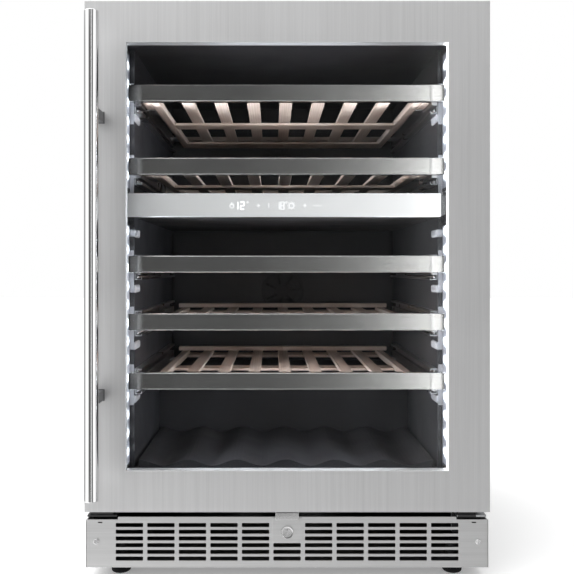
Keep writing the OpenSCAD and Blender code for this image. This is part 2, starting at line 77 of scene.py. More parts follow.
def addBlock(name, lo, hi):
    deselectAll()
    middle = [(a + b) / 2 for a, b in zip(lo, hi)]
    size = [b - a for a, b in zip(lo, hi)]
    bpy.ops.mesh.primitive_cube_add(size=1, location=middle, scale=size)
    return settle(bpy.context.object, name)


def addRod(name, centre, radius, length, axis="Z", sides=32):
    deselectAll()
    turn = {"X": (0, math.pi / 2, 0), "Y": (math.pi / 2, 0, 0), "Z": (0, 0, 0)}[axis]
    bpy.ops.mesh.primitive_cylinder_add(vertices=sides, radius=radius, depth=length, location=centre,
                                        rotation=turn)
    return settle(bpy.context.object, name)


def addTorus(name, centre, radius, wire, sides=48):
    # a ring that faces the front
    deselectAll()
    bpy.ops.mesh.primitive_torus_add(location=centre, rotation=(math.pi / 2, 0, 0), major_radius=radius,
                                     minor_radius=wire, major_segments=sides, minor_segments=8)
    return settle(bpy.context.object, name)


def selectIn(obj, kind, test):
    # edit mode, with only what passes the test selected
    pick(obj)
    bpy.ops.object.mode_set(mode="EDIT")
    bpy.ops.mesh.select_mode(type=kind)
    bpy.ops.mesh.select_all(action="DESELECT")
    mesh = bmesh.from_edit_mesh(obj.data)
    for item in {"VERT": mesh.verts, "EDGE": mesh.edges, "FACE": mesh.faces}[kind]:
        if test(item):
            item.select_set(True)
    bmesh.update_edit_mesh(obj.data)


def facing(axis, sign):
    return lambda face: face.normal[axis] * sign > 0.9


def alongY(edge):
    return abs(edge.verts[0].co.y - edge.verts[1].co.y) > 0.005


def push(x, y, z):
    # extrudes what is selected
    bpy.ops.mesh.extrude_region_move(TRANSFORM_OT_translate={"value": (x, y, z)})


def finishWith(obj, kind, **values):
    pick(obj)
    bpy.ops.object.modifier_add(type=kind)
    modifier = obj.modifiers[-1]
    for key, value in values.items():
        setattr(modifier, key, value)
    bpy.ops.object.modifier_apply(modifier=modifier.name)
    return obj


def soften(obj, width, segments=2, angle=35):
    finishWith(obj, "BEVEL", width=width, segments=segments, limit_method="ANGLE",
               angle_limit=math.radians(angle))
    return smooth(obj)


def remove(obj):
    pick(obj)
    bpy.ops.object.delete()


def smooth(obj, angle=40):
    pick(obj)
    bpy.ops.object.shade_smooth_by_angle(angle=math.radians(angle))
    return obj


def cutWith(obj, cutter):
    finishWith(obj, "BOOLEAN", object=cutter, operation="DIFFERENCE", solver="EXACT")
    remove(cutter)
    return obj


def copyTo(source, name, shift):
    pick(source)
    bpy.ops.object.duplicate(linked=False)
    copy = bpy.context.object
    bpy.ops.transform.translate(value=shift)
    return settle(copy, name)


def mirrorTo(source, name):
    # the same shape on the other side of X = 0
    pick(source)
    bpy.ops.object.duplicate(linked=False)
    copy = bpy.context.object
    copy.scale.x = -1
    settle(copy, name)
    bpy.ops.object.mode_set(mode="EDIT")
    bpy.ops.mesh.select_all(action="SELECT")
    bpy.ops.mesh.normals_make_consistent(inside=False)
    leaveEdit()
    return copy


def joinAs(name, objs):
    pick(*objs)
    if len(objs) > 1:
        bpy.ops.object.join()
    return settle(objs[0], name)


def roundedBlock(name, lo, hi, radius, segments=2):
    return soften(addBlock(name, lo, hi), radius, segments)


def sideBlock(name, side, xs, ys, zs, radius):
    # a rounded block, given for the right side and placed on either
    xa, xb = sorted(side * x for x in xs)
    return roundedBlock(name, (xa, ys[0], zs[0]), (xb, ys[1], zs[1]), radius)


def roundedRod(name, centre, radius, length, axis, sides, width, segments=2):
    return soften(addRod(name, centre, radius, length, axis, sides), width, segments, 50)


def addRing(name, lo, hi, border):
    # a block with a window through it from front to rear
    ring = addBlock(name, lo, hi)
    selectIn(ring, "FACE", lambda face: abs(face.normal.y) > 0.9)
    bpy.ops.mesh.inset(thickness=border, depth=0, use_individual=True)
    bpy.ops.mesh.bridge_edge_loops()
    leaveEdit()
    return ring


def openPan(name, lo, hi, openSides, sheet, radius):
    # folded sheet: a block with some sides taken off, given a thickness inwards
    pan = addBlock(name, lo, hi)
    selectIn(pan, "FACE", lambda face: any(face.normal[axis] * sign > 0.9 for axis, sign in openSides))
    bpy.ops.mesh.delete(type="FACE")
    finishWith(pan, "SOLIDIFY", thickness=sheet, offset=-1, use_even_offset=True)
    return soften(pan, radius, 2)


def paint(obj, finish):
    obj.data.materials.clear()
    obj.data.materials.append(finishes[finish])


def place(obj, body, finish, nodes=(), slot=None):
    # the finish, the body that carries the piece, and the CAD nodes that it stands for
    finishWith(obj, "WEIGHTED_NORMAL", weight=100, keep_sharp=True)  # flat faces stay flat beside a bevel
    paint(obj, finish)
    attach(obj, body)
    if nodes:
        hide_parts(*nodes)


# ---- shader building blocks

def addNode(tree, kind, values=None, **settings):
    node = tree.nodes.new(kind)
    for key, value in settings.items():
        setattr(node, key, value)
    for key, value in (values or {}).items():
        if isinstance(value, bpy.types.NodeSocket):
            tree.links.new(value, node.inputs[key])
        else:
            node.inputs[key].default_value = value
    return node


def reckon(tree, operation, *values):
    return addNode(tree, "ShaderNodeMath", dict(enumerate(values)), operation=operation).outputs[0]


def reckonVector(tree, operation, *values):
    return addNode(tree, "ShaderNodeVectorMath", dict(enumerate(values)), operation=operation).outputs[0]


def noise(tree, vector, scale, detail, roughness=0.5):
    return addNode(tree, "ShaderNodeTexNoise", {"Vector": vector, "Scale": scale, "Detail": detail,
                                                "Roughness": roughness}).outputs[0]


def remap(tree, value, fromLow, fromHigh, toLow=0.0, toHigh=1.0, **settings):
    return addNode(tree, "ShaderNodeMapRange", {"Value": value, "From Min": fromLow, "From Max": fromHigh,
                                                "To Min": toLow, "To Max": toHigh}, **settings).outputs[0]


def feed(tree, node, **sockets):
    for key, value in sockets.items():
        tree.links.new(value, node.inputs[key.replace("_", " ")])


def startGroup(name, inputs, outputs):
    tree = bpy.data.node_groups.new(name, "ShaderNodeTree")
    for label, kind, value in inputs:
        socket = tree.interface.new_socket(label, in_out="INPUT", socket_type=kind)
        if value is not None:
            socket.default_value = value
    for label in outputs:
        tree.interface.new_socket(label, in_out="OUTPUT", socket_type="NodeSocketFloat")
    return tree, tree.nodes.new("NodeGroupInput"), tree.nodes.new("NodeGroupOutput")


def makeBrushedGroup():
    # long fine scratches with a few broad bands; Vector comes stretched along the grain
    tree, given, out = startGroup("brushedGrain", [
        ("Vector", "NodeSocketVector", None), ("Broad", "NodeSocketFloat", 0.35),
        ("Fine", "NodeSocketFloat", 0.65),
    ], ["Tone", "Height"])
    vector = given.outputs["Vector"]
    fine = noise(tree, vector, 1.0, 4.0, 0.7)
    broad = noise(tree, reckonVector(tree, "MULTIPLY", vector, (0.09, 0.09, 0.09)), 1.0, 3.0)
    a = reckon(tree, "MULTIPLY", fine, given.outputs["Fine"])
    b = reckon(tree, "MULTIPLY", broad, given.outputs["Broad"])
    feed(tree, out, Tone=remap(tree, reckon(tree, "ADD", a, b), 0.3, 0.7), Height=fine)
    return tree


def makeSpeckleGroup():
    # fine moulded or painted texture, with faint larger patches
    tree, given, out = startGroup("fineSpeckle", [
        ("Vector", "NodeSocketVector", None), ("Scale", "NodeSocketFloat", 1500.0),
        ("Patches", "NodeSocketFloat", 14.0),
    ], ["Tone", "Height"])
    grain = noise(tree, given.outputs["Vector"], given.outputs["Scale"], 2.0)
    patch = noise(tree, given.outputs["Vector"], given.outputs["Patches"], 4.0)
    both = reckon(tree, "MULTIPLY", grain, patch)
    feed(tree, out, Tone=remap(tree, both, 0.12, 0.4), Height=grain)
    return tree


def makeWoodGroup():
    # cathedral bands, fine pores and a tone for each stick; Vector comes stretched along the grain
    tree, given, out = startGroup("beechGrain", [
        ("Vector", "NodeSocketVector", None), ("Stick", "NodeSocketVector", None),
        ("Contrast", "NodeSocketFloat", 0.5),
    ], ["Tone", "Pores", "Height"])
    cell = reckonVector(tree, "FLOOR", given.outputs["Stick"])
    choice = addNode(tree, "ShaderNodeTexWhiteNoise", {"Vector": cell})
    shift = reckonVector(tree, "MULTIPLY", choice.outputs["Color"], (9.0, 9.0, 9.0))
    moved = reckonVector(tree, "ADD", given.outputs["Vector"], shift)
    bands = addNode(tree, "ShaderNodeTexWave", {"Vector": moved, "Scale": 0.9, "Distortion": 5.0, "Detail": 3.0,
                                               "Detail Scale": 0.8, "Detail Roughness": 0.6})
    pores = noise(tree, reckonVector(tree, "MULTIPLY", moved, (9.0, 9.0, 9.0)), 1.0, 3.0, 0.65)
    low = reckon(tree, "MULTIPLY", bands.outputs[1], given.outputs["Contrast"])
    mid = reckon(tree, "MULTIPLY", choice.outputs["Value"], 0.45)
    feed(tree, out, Tone=reckon(tree, "ADD", low, mid), Pores=remap(tree, pores, 0.55, 0.72), Height=pores)
    return tree


def makeSmudgeGroup():
    # cloudy handling marks, for roughness
    tree, given, out = startGroup("handlingMarks", [
        ("Vector", "NodeSocketVector", None), ("Low", "NodeSocketFloat", 0.25),
        ("High", "NodeSocketFloat", 0.35),
    ], ["Rough"])
    cloud = noise(tree, given.outputs["Vector"], 9.0, 5.0, 0.6)
    feed(tree, out, Rough=remap(tree, cloud, 0.35, 0.7, given.outputs["Low"], given.outputs["High"]))
    return tree


brushedGroup = makeBrushedGroup()
speckleGroup = makeSpeckleGroup()
woodGroup = makeWoodGroup()
smudgeGroup = makeSmudgeGroup()


def startMaterial(name, **constants):
    finish = bpy.data.materials.new(name)
    finish.use_nodes = True
    tree = finish.node_tree
    shader = tree.nodes["Principled BSDF"]
    for key, value in constants.items():
        shader.inputs[key.replace("_", " ")].default_value = value
    spot = addNode(tree, "ShaderNodeTexCoord")
    return finish, tree, shader, spot.outputs["Object"]


def stretched(tree, vector, scale):
    return addNode(tree, "ShaderNodeMapping", {"Vector": vector, "Scale": scale}).outputs[0]


def useGroup(tree, group, **values):
    node = addNode(tree, "ShaderNodeGroup", node_tree=group)
    for key, value in values.items():
        if isinstance(value, bpy.types.NodeSocket):
            tree.links.new(value, node.inputs[key])
        else:
            node.inputs[key].default_value = value
    return node


def mixColours(tree, factor, dark, light):
    node = addNode(tree, "ShaderNodeMix", data_type="RGBA")
    tree.links.new(factor, node.inputs[0])
    node.inputs[6].default_value, node.inputs[7].default_value = (*dark, 1), (*light, 1)
    return node.outputs[2]


def addBump(tree, shader, height, strength, distance):
    bump = addNode(tree, "ShaderNodeBump", {"Strength": strength, "Distance": distance, "Height": height})
    feed(tree, shader, Normal=bump.outputs[0])


def brushedMetal(name, dark, light, along, rough=(0.28, 0.4), bump=0.25, **constants):
    # along is the axis of the brushing
    finish, tree, shader, spot = startMaterial(name, Metallic=1.0, **constants)
    scale = [2200.0, 2200.0, 2200.0]
    scale["XYZ".index(along)] = 9.0
    grain = useGroup(tree, brushedGroup, Vector=stretched(tree, spot, scale))
    marks = useGroup(tree, smudgeGroup, Vector=spot, Low=rough[0], High=rough[1])
    base = mixColours(tree, grain.outputs["Tone"], dark, light)
    feed(tree, shader, Base_Color=base, Roughness=marks.outputs["Rough"])
    addBump(tree, shader, grain.outputs["Height"], bump, 0.0001)
    return finish


def speckled(name, dark, light, scale=1500.0, rough=(0.45, 0.6), bump=0.2, depth=0.0002, **constants):
    finish, tree, shader, spot = startMaterial(name, **constants)
    grain = useGroup(tree, speckleGroup, Vector=spot, Scale=scale)
    marks = useGroup(tree, smudgeGroup, Vector=spot, Low=rough[0], High=rough[1])
    base = mixColours(tree, grain.outputs["Tone"], dark, light)
    feed(tree, shader, Base_Color=base, Roughness=marks.outputs["Rough"])
    addBump(tree, shader, grain.outputs["Height"], bump, depth)
    return finish


def galvanised(name):
    # zinc crystals a few millimetres across
    finish, tree, shader, spot = startMaterial(name, Metallic=1.0)
    crystals = addNode(tree, "ShaderNodeTexVoronoi", {"Vector": spot, "Scale": 160.0})
    marks = useGroup(tree, smudgeGroup, Vector=spot, Low=0.34, High=0.52)
    grey = addNode(tree, "ShaderNodeSeparateColor", {0: crystals.outputs["Color"]})
    base = mixColours(tree, grey.outputs[0], (0.42, 0.43, 0.44), (0.62, 0.63, 0.64))
    feed(tree, shader, Base_Color=base, Roughness=marks.outputs["Rough"])
    addBump(tree, shader, grey.outputs[1], 0.05, 0.0003)
    return finish


def beech(name, along):
    finish, tree, shader, spot = startMaterial(name)
    scale, stick = [90.0, 90.0, 90.0], [18.7, 18.7, 0.01]
    scale["XYZ".index(along)] = 4.0
    stick["XYZ".index(along)] = 0.01
    grain = useGroup(tree, woodGroup, Vector=stretched(tree, spot, scale), Stick=stretched(tree, spot, stick),
                     Contrast=0.55)
    marks = useGroup(tree, smudgeGroup, Vector=spot, Low=0.42, High=0.58)
    base = mixColours(tree, grain.outputs["Tone"], (0.60, 0.475, 0.405), (0.79, 0.685, 0.61))
    fade = reckon(tree, "MULTIPLY", grain.outputs["Pores"], 0.35)
    dark = addNode(tree, "ShaderNodeMix", data_type="RGBA")
    tree.links.new(fade, dark.inputs[0])
    tree.links.new(base, dark.inputs[6])
    dark.inputs[7].default_value = (0.40, 0.27, 0.19, 1)
    feed(tree, shader, Base_Color=dark.outputs[2], Roughness=marks.outputs["Rough"])
    addBump(tree, shader, grain.outputs["Height"], 0.25, 0.0002)
    return finish


def clearGlass(name, tint):
    # coated panes, which reflect little
    finish, tree, shader, spot = startMaterial(name, Metallic=0.0, IOR=1.12)
    shader.inputs["Transmission Weight"].default_value = 1.0
    marks = useGroup(tree, smudgeGroup, Vector=spot, Low=0.0, High=0.012)
    grain = useGroup(tree, speckleGroup, Vector=spot, Scale=6.0, Patches=3.0)
    lighter = [min(1.0, value * 1.02) for value in tint]
    base = mixColours(tree, grain.outputs["Tone"], tint, lighter)
    feed(tree, shader, Base_Color=base, Roughness=marks.outputs["Rough"])
    return finish


def filmGlass(name, tint, film):
    # the inner pane: a thin tinted film that lets the lamps' light through
    finish, tree, shader, spot = startMaterial(name, Metallic=0.0, Roughness=0.05, Alpha=film)
    grain = useGroup(tree, speckleGroup, Vector=spot, Scale=6.0, Patches=3.0)
    darker = [value * 0.8 for value in tint]
    feed(tree, shader, Base_Color=mixColours(tree, grain.outputs["Tone"], darker, tint))
    return finish


def lampGlow(name, colour, strength, spacing, front):
    # a diffusing lens with a bright spot in front of each lamp, strongest along its front edge
    finish, tree, shader, spot = startMaterial(name, Roughness=0.35)
    shader.inputs["Base Color"].default_value = (0.30, 0.31, 0.34, 1)
    parts = addNode(tree, "ShaderNodeSeparateXYZ", {0: spot})
    wave = reckon(tree, "SINE", reckon(tree, "MULTIPLY", parts.outputs[2], math.pi / spacing))
    across = reckon(tree, "MULTIPLY", wave, 2.3)
    along = remap(tree, parts.outputs[1], front, front + 0.028, 0.0, 2.3)
    reach = addNode(tree, "ShaderNodeCombineXYZ", {0: across, 1: along}).outputs[0]
    squared = addNode(tree, "ShaderNodeVectorMath", {0: reach, 1: reach}, operation="DOT_PRODUCT")
    fall = reckon(tree, "POWER", 1 / math.e, squared.outputs["Value"])
    feed(tree, shader, Emission_Color=mixColours(tree, fall, (0.0012, 0.0013, 0.0019), colour))
    shader.inputs["Emission Strength"].default_value = strength
    return finish


def plainGlow(name, colour, strength):
    finish, tree, shader, spot = startMaterial(name, Roughness=0.4)
    shader.inputs["Base Color"].default_value = (0.8, 0.8, 0.8, 1)
    grain = useGroup(tree, speckleGroup, Vector=spot, Scale=300.0)
    darker = [value * 0.9 for value in colour]
    feed(tree, shader, Emission_Color=mixColours(tree, grain.outputs["Tone"], darker, colour))
    shader.inputs["Emission Strength"].default_value = strength
    return finish


def paintedLightStrip(name, dark, light, metal, span, power, glow):
    # satin finish with painted light: emission that grows towards its right end stands in for the light falling there
    finish, tree, shader, spot = startMaterial(name, Metallic=metal)
    grain = useGroup(tree, brushedGroup, Vector=stretched(tree, spot, (9.0, 2200.0, 2200.0)))
    marks = useGroup(tree, smudgeGroup, Vector=spot, Low=0.36, High=0.42)
    base = mixColours(tree, grain.outputs["Tone"], dark, light)
    feed(tree, shader, Base_Color=base, Roughness=marks.outputs["Rough"])
    # painted light: the emission colour rises from the low level to the high level along X
    parts = addNode(tree, "ShaderNodeSeparateXYZ", {0: spot})
    rise = reckon(tree, "POWER", remap(tree, parts.outputs[0], *span), power)
    low, high = ((value,) * 3 for value in glow)
    feed(tree, shader, Emission_Color=mixColours(tree, rise, low, high))
    shader.inputs["Emission Strength"].default_value = 1.0
    return finish


metals = {  # dark and light colour, axis of the brushing, roughness, bump
    "doorSteel": ((0.58, 0.58, 0.583), (0.70, 0.70, 0.703), "Z", (0.42, 0.48)),
    "trimSteel": ((0.50, 0.495, 0.485), (0.62, 0.615, 0.60), "X", (0.13, 0.18), 0.1),
    "plinthSteel": ((0.54, 0.54, 0.54), (0.68, 0.68, 0.68), "X", (0.36, 0.44)),
    "handleSteel": ((0.70, 0.70, 0.705), (0.78, 0.78, 0.785), "Z", (0.05, 0.09), 0.03),
    "brightSteel": ((0.58, 0.58, 0.58), (0.74, 0.74, 0.74), "X", (0.16, 0.24), 0.1),
    "slideSteel": ((0.50, 0.51, 0.53), (0.70, 0.71, 0.73), "Y", (0.26, 0.36)),
    "copper": ((0.62, 0.28, 0.16), (0.78, 0.42, 0.28), "Y", (0.24, 0.4)),
    "aluminium": ((0.60, 0.61, 0.62), (0.72, 0.73, 0.74), "X", (0.3, 0.42)),
}
plastics = {  # dark and light colour, scale, roughness, bump, depth
    "greyPlastic": ((0.16, 0.165, 0.175), (0.22, 0.225, 0.235), 1000.0, (0.35, 0.45)),
    # partly painted light: pale grey so the pads and slide plates read as lit by the lamps
    "padTintAndPaintedLight": ((0.42, 0.43, 0.46), (0.54, 0.55, 0.58), 1000.0, (0.4, 0.5)),
    "casePaint": ((0.014, 0.014, 0.015), (0.026, 0.026, 0.028), 700.0, (0.34, 0.46), 0.12),
    "linerPlastic": ((0.022, 0.022, 0.024), (0.038, 0.038, 0.042), 900.0, (0.42, 0.55), 0.15),
    "blackPlastic": ((0.014, 0.014, 0.015), (0.028, 0.028, 0.030), 1200.0, (0.4, 0.5)),
    "whitePlastic": ((0.66, 0.66, 0.63), (0.78, 0.78, 0.75), 1200.0, (0.4, 0.5)),
    "sealRubber": ((0.018, 0.018, 0.019), (0.036, 0.036, 0.038), 1800.0, (0.62, 0.75)),
    "foam": ((0.62, 0.52, 0.30), (0.78, 0.70, 0.46), 500.0, (0.85, 0.95), 0.6, 0.001),
    "lampBoard": ((0.70, 0.71, 0.70), (0.86, 0.87, 0.86), 900.0, (0.35, 0.45)),
}
finishes = {
    # painted light: the control strip's pale silver gets emission that brightens towards its right end
    "stripSteelPaintedLight": paintedLightStrip("stripSteelPaintedLight", (0.89, 0.895, 0.90), (0.95, 0.955, 0.96), 0.3, (-0.25, 0.24), 1.8,
                           (0.02, 0.36)),
    # painted highlight: only the right-hand spacer glows, as a bright line along the window's edge
    "spacerPaintedHighlight": paintedLightStrip("spacerPaintedHighlight", (0.42, 0.42, 0.425), (0.52, 0.52, 0.525), 0.0, (0.236, 0.242),
                           1.0, (0.0, 1.75)),
    "postGrey": speckled("postGrey", (0.10, 0.10, 0.105), (0.16, 0.16, 0.165), 900.0, (0.32, 0.42),
                         Metallic=0.6),
    "zinc": galvanised("zinc"),
    "footPlastic": speckled("footPlastic", (0.006, 0.006, 0.007), (0.012, 0.012, 0.013), 1200.0,
                            (0.7, 0.8), Specular_IOR_Level=0.1),
    "glass": clearGlass("paneGlass", (0.975, 0.985, 0.985)),
    "floorPaint": speckled("floorPaint", (0.93, 0.93, 0.93), (0.95, 0.95, 0.95), 40.0, (0.6, 0.7), 0.0,
                           Emission_Color=(1.0, 1.0, 1.0, 1), Emission_Strength=0.25),
    "innerGlass": filmGlass("innerPaneGlass", (0.03, 0.032, 0.035), 0.04),
    "beechAlongY": beech("beechAlongY", "Y"),
    "beechAlongX": beech("beechAlongX", "X"),
    "lamps": lampGlow("lampLens", (0.88, 0.93, 1.0), 26.0, 0.0294, -0.195),
    "iconGlow": plainGlow("iconGlow", (0.95, 0.98, 1.0), 3.0),
    "faintGlow": plainGlow("faintGlow", (0.95, 0.98, 1.0), 1.2),
}
finishes.update({name: brushedMetal(name, *values) for name, values in metals.items()})
finishes.update({name: speckled(name, *values) for name, values in plastics.items()})
print("finishes ready")


# ---- camera, light and floor

view = {"place": (-0.0212, -1.364, 0.470), "lens": 46.3, "shift": (0.0244, -0.0331)}

deselectAll()
bpy.ops.object.camera_add(location=view["place"], rotation=(math.pi / 2, 0, 0))
camera = bpy.context.object
camera.name = "mainCamera"
camera.data.lens = view["lens"]
camera.data.sensor_width = 36
camera.data.shift_x, camera.data.shift_y = view["shift"]
camera.data.clip_start = 0.02
bpy.context.scene.camera = camera
bpy.context.scene.view_settings.view_transform = "Standard"

studio = {
    "backdrop": 1.0, "behind": 0.45, "left": 1.95, "right": 0.55, "low": -0.36, "high": 0.38, "edge": 0.1,
    "scale": 3.0, "overhead": 18, "stripX": 0.2512, "stripY": -0.187, "stripWide": 0.013, "spread": 100,
    "strips": ((0.378, 0.33, 2.4), (0.680, 0.15, 1.25)),  # height, length and power of each lamp strip's light
    "stripColour": (0.88, 0.93, 1.0), "floor": 14,
}
frontLevels = [  # brightness of what stands in front, from far left to far right
    (-0.62, 1.60), (-0.52, 0.90), (-0.38, 0.22), (-0.25, 0.13), (-0.05, 0.12), (0.04, 0.19),
    (0.10, 0.30), (0.15, 0.46), (0.178, 0.70), (0.194, 2.3), (0.235, 2.6), (0.25, 0.5),
    (0.30, 0.25), (0.62, 0.25), (0.72, 1.6), (0.94, 1.6), (1.0, 0.6),
]


def makeWorld():
    # white panels above and to the sides; the front is dark, with one narrow bright panel
    world = bpy.data.worlds.new("studio")
    bpy.context.scene.world = world
    world.use_nodes = True
    tree = world.node_tree
    tree.nodes.clear()
    spot = addNode(tree, "ShaderNodeTexCoord")
    parts = addNode(tree, "ShaderNodeSeparateXYZ", {0: spot.outputs["Generated"]})
    x, y, z = parts.outputs

    def rise(value, *ends):
        return remap(tree, value, *ends, interpolation_type="SMOOTHSTEP")

    def blend(factor, a, b):
        node = addNode(tree, "ShaderNodeMix")
        for index, value in enumerate((factor, a, b)):
            if isinstance(value, bpy.types.NodeSocket):
                tree.links.new(value, node.inputs[(0, 2, 3)[index]])
            else:
                node.inputs[(0, 2, 3)[index]].default_value = value
        return node.outputs[0]

    ahead = rise(y, 0.08, -0.08)
    low, high, edge = studio["low"], studio["high"], studio["edge"]
    middle = reckon(tree, "MULTIPLY", rise(z, low - edge, low + edge), rise(z, high + edge, high - edge))
    ramp = addNode(tree, "ShaderNodeValToRGB", {0: remap(tree, x, -1.0, 1.0)})
    stops = ramp.color_ramp.elements
    for index, (place, value) in enumerate(frontLevels):
        stop = stops[index] if index < 2 else stops.new(1.0)
        stop.position = (place + 1) / 2
        stop.color = (value / studio["scale"],) * 3 + (1,)
    room = rise(x, -0.5, 0.5, studio["left"], studio["right"])
    around = blend(ahead, studio["behind"], reckon(tree, "MULTIPLY", ramp.outputs[0], studio["scale"]))
    total = blend(middle, room, around)
    rays = addNode(tree, "ShaderNodeLightPath")
    lit = addNode(tree, "ShaderNodeBackground", {"Color": (1.0, 1.0, 1.0, 1), "Strength": total})
    plain = addNode(tree, "ShaderNodeBackground", {"Color": (1.0, 1.0, 1.0, 1), "Strength": studio["backdrop"]})
    mixed = addNode(tree, "ShaderNodeMixShader", {0: rays.outputs["Is Camera Ray"], 1: lit.outputs[0],
                                                  2: plain.outputs[0]})
    addNode(tree, "ShaderNodeOutputWorld", {0: mixed.outputs[0]})


makeWorld()


def addSoftbox(name, place, size, power, aim):
    deselectAll()
    bpy.ops.object.light_add(type="AREA", location=place)
    lamp = bpy.context.object
    lamp.name = name
    lamp.data.shape = "RECTANGLE"
    lamp.data.size, lamp.data.size_y = size
    lamp.data.energy = power
    direction = [b - a for a, b in zip(place, aim)]
    lamp.rotation_mode = "QUATERNION"
    lamp.rotation_quaternion = Vector(direction).to_track_quat("-Z", "Y")
    return lamp


addSoftbox("overheadBox", (0, -0.6, 2.6), (2.4, 1.8), studio["overhead"], (0, 0, 0.4))
for side in (-1, 1):
    for height, length, power in studio["strips"]:
        spot = (side * studio["stripX"], studio["stripY"], height)
        glow = addSoftbox("stripGlow", spot, (studio["stripWide"], length), power, (0, studio["stripY"], height))
        glow.data.color = studio["stripColour"]
        glow.data.spread = math.radians(studio["spread"])
        glow.visible_camera = glow.visible_transmission = glow.visible_glossy = False

deselectAll()
bpy.ops.mesh.primitive_grid_add(x_subdivisions=8, y_subdivisions=8, size=studio["floor"], location=(0, 3, 0))
floor = settle(bpy.context.object, "studioFloor")
paint(floor, "floorPaint")
floor.visible_glossy = floor.visible_transmission = False  # the floor must not show in the panes
print("stage ready")


# ---- CAD nodes that keep their shape

nodesOfFinish = {
    # painted shade: base_pan takes the black case paint, so what shows through the plinth slots stays dark
    "casePaint": "cabinet_shell base_pan top_hinge compressor condenser_coil",
    "zinc": "back_panel outer_runners bottom_hinge lock_housing rear_vent_cover",
    "linerPlastic": "inner_liner zone_divider upper_air_duct lower_air_duct bottle_cradle",
    "foam": "insulation_foam",
    "stripSteelPaintedLight": "control_fascia",
    "lampBoard": "led_boards",
    "lamps": "led_lenses",
    "aluminium": "evaporators",
    "blackPlastic": "hinge_blank condenser_fan_frame door_inner_frame condenser_fan upper_fan lower_fan",
    "brightSteel": "cabinet_screws lock_strike lock_cylinder",
    "plinthSteel": "plinth_grille",
    "sealRubber": "compressor_mounts cord_gland door_gasket",
    "copper": "refrigerant_pipes",
    "doorSteel": "door_skin",
    "glass": "outer_glass",
    "innerGlass": "inner_glass",
    "spacerPaintedHighlight": "glass_spacer",
    "handleSteel": "handle_bar",
    "postGrey": "handle_posts",
    "whitePlastic": "door_bushings",
}
for finish, nodes in nodesOfFinish.items():
    for node in nodes.split():
        paint(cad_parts[node], finish)
for corner in ("front_left", "front_right", "rear_left", "rear_right"):
    paint(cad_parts["foot_" + corner], "footPlastic")
for number in range(1, 6):
    for part, finish in (("wood", "beechAlongY"), ("trim", "trimSteel"), ("runners", "zinc")):
        paint(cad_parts[f"shelf_{number}_{part}"], finish)
print("frame finished")


# ---- door

doorSizes = {"border": 0.062, "sheet": 0.0014, "edge": 0.0009}


def makeDoorSkin():
    # one folded steel sheet with a window in it
    lo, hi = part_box("door_skin")
    skin = addBlock("doorSkin", lo, hi)
    selectIn(skin, "FACE", facing(1, 1))
    bpy.ops.mesh.delete(type="FACE")
    selectIn(skin, "FACE", facing(1, -1))
    bpy.ops.mesh.inset(thickness=doorSizes["border"], depth=0)
    bpy.ops.mesh.delete(type="FACE")
    finishWith(skin, "SOLIDIFY", thickness=doorSizes["sheet"], offset=-1, use_even_offset=True)
    soften(skin, doorSizes["edge"], 3)
    place(skin, "door", "doorSteel", ["door_skin"], "brushed_steel")


handleSizes = {
    "chamfer": 0.0014, "dish": (0.0035, -0.0008), "post": (0.0046, 0.0077), "foot": (0.0058, 0.0089, 0.0012),
    "postZ": (-0.2065, 0.2065), "ribZ": 0.0045, "ribThick": 0.0014, "ribProud": 0.0003,
}


def makeHandle():
    h = handleSizes
    lo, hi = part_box("handle_bar")
    middle = (lo + hi) / 2
    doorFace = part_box("door_skin")[0].y
    bar = addRod("handleBar", middle, (hi.x - lo.x) / 2, hi.z - lo.z, "Z", 72)
    selectIn(bar, "FACE", lambda face: abs(face.normal.z) > 0.9)
    bpy.ops.mesh.inset(thickness=h["dish"][0], depth=h["dish"][1], use_individual=True)  # dished ends
    leaveEdit()
    soften(bar, h["chamfer"], 3, 50)
    place(bar, "door", "handleSteel", ["handle_bar"], "polished_steel")
    posts = []
    wide, tall = h["post"]
    footWide, footTall, footDeep = h["foot"]
    ribWide, ribHalf = wide + h["ribProud"], h["ribThick"] / 2
    for offset in h["postZ"]:
        z = middle.z + offset
        posts.append(roundedBlock("shank", (middle.x - wide, middle.y + 0.004, z - tall),
                                  (middle.x + wide, doorFace, z + tall), 0.0009))
        posts.append(roundedBlock("foot", (middle.x - footWide, doorFace - footDeep, z - footTall),
                                  (middle.x + footWide, doorFace, z + footTall), 0.0005))
        for side in (-1, 1):
            ribZ = z + side * h["ribZ"]
            posts.append(roundedBlock("rib", (middle.x - ribWide, lo.y + 0.021, ribZ - ribHalf),
                                      (middle.x + ribWide, doorFace - 0.002, ribZ + ribHalf), 0.0003))
    place(joinAs("handlePosts", posts), "door", "postGrey", ["handle_posts"], "grey_steel")


gasketSizes = {"footDeep": 0.0025, "wide": 0.02, "groove": (0.006, 0.0012), "footIn": 0.004, "footWide": 0.012}


def makeGasket():
    # soft bellows with a groove down the middle of its sealing face
    g = gasketSizes
    lo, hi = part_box("door_gasket")
    seal = addRing("doorSeal", (lo.x, lo.y + g["footDeep"], lo.z), hi, g["wide"])
    selectIn(seal, "FACE", facing(1, 1))
    bpy.ops.mesh.inset(thickness=g["groove"][0], depth=0)
    push(0, -g["groove"][1], 0)
    leaveEdit()
    soften(seal, 0.0006, 2)
    inward = g["footIn"]
    foot = addRing("sealFoot", (lo.x + inward, lo.y, lo.z + inward),
                   (hi.x - inward, lo.y + g["footDeep"] + 0.001, hi.z - inward), g["footWide"])
    place(joinAs("doorSeal", [seal, foot]), "door", "sealRubber", ["door_gasket"], "black_rubber")


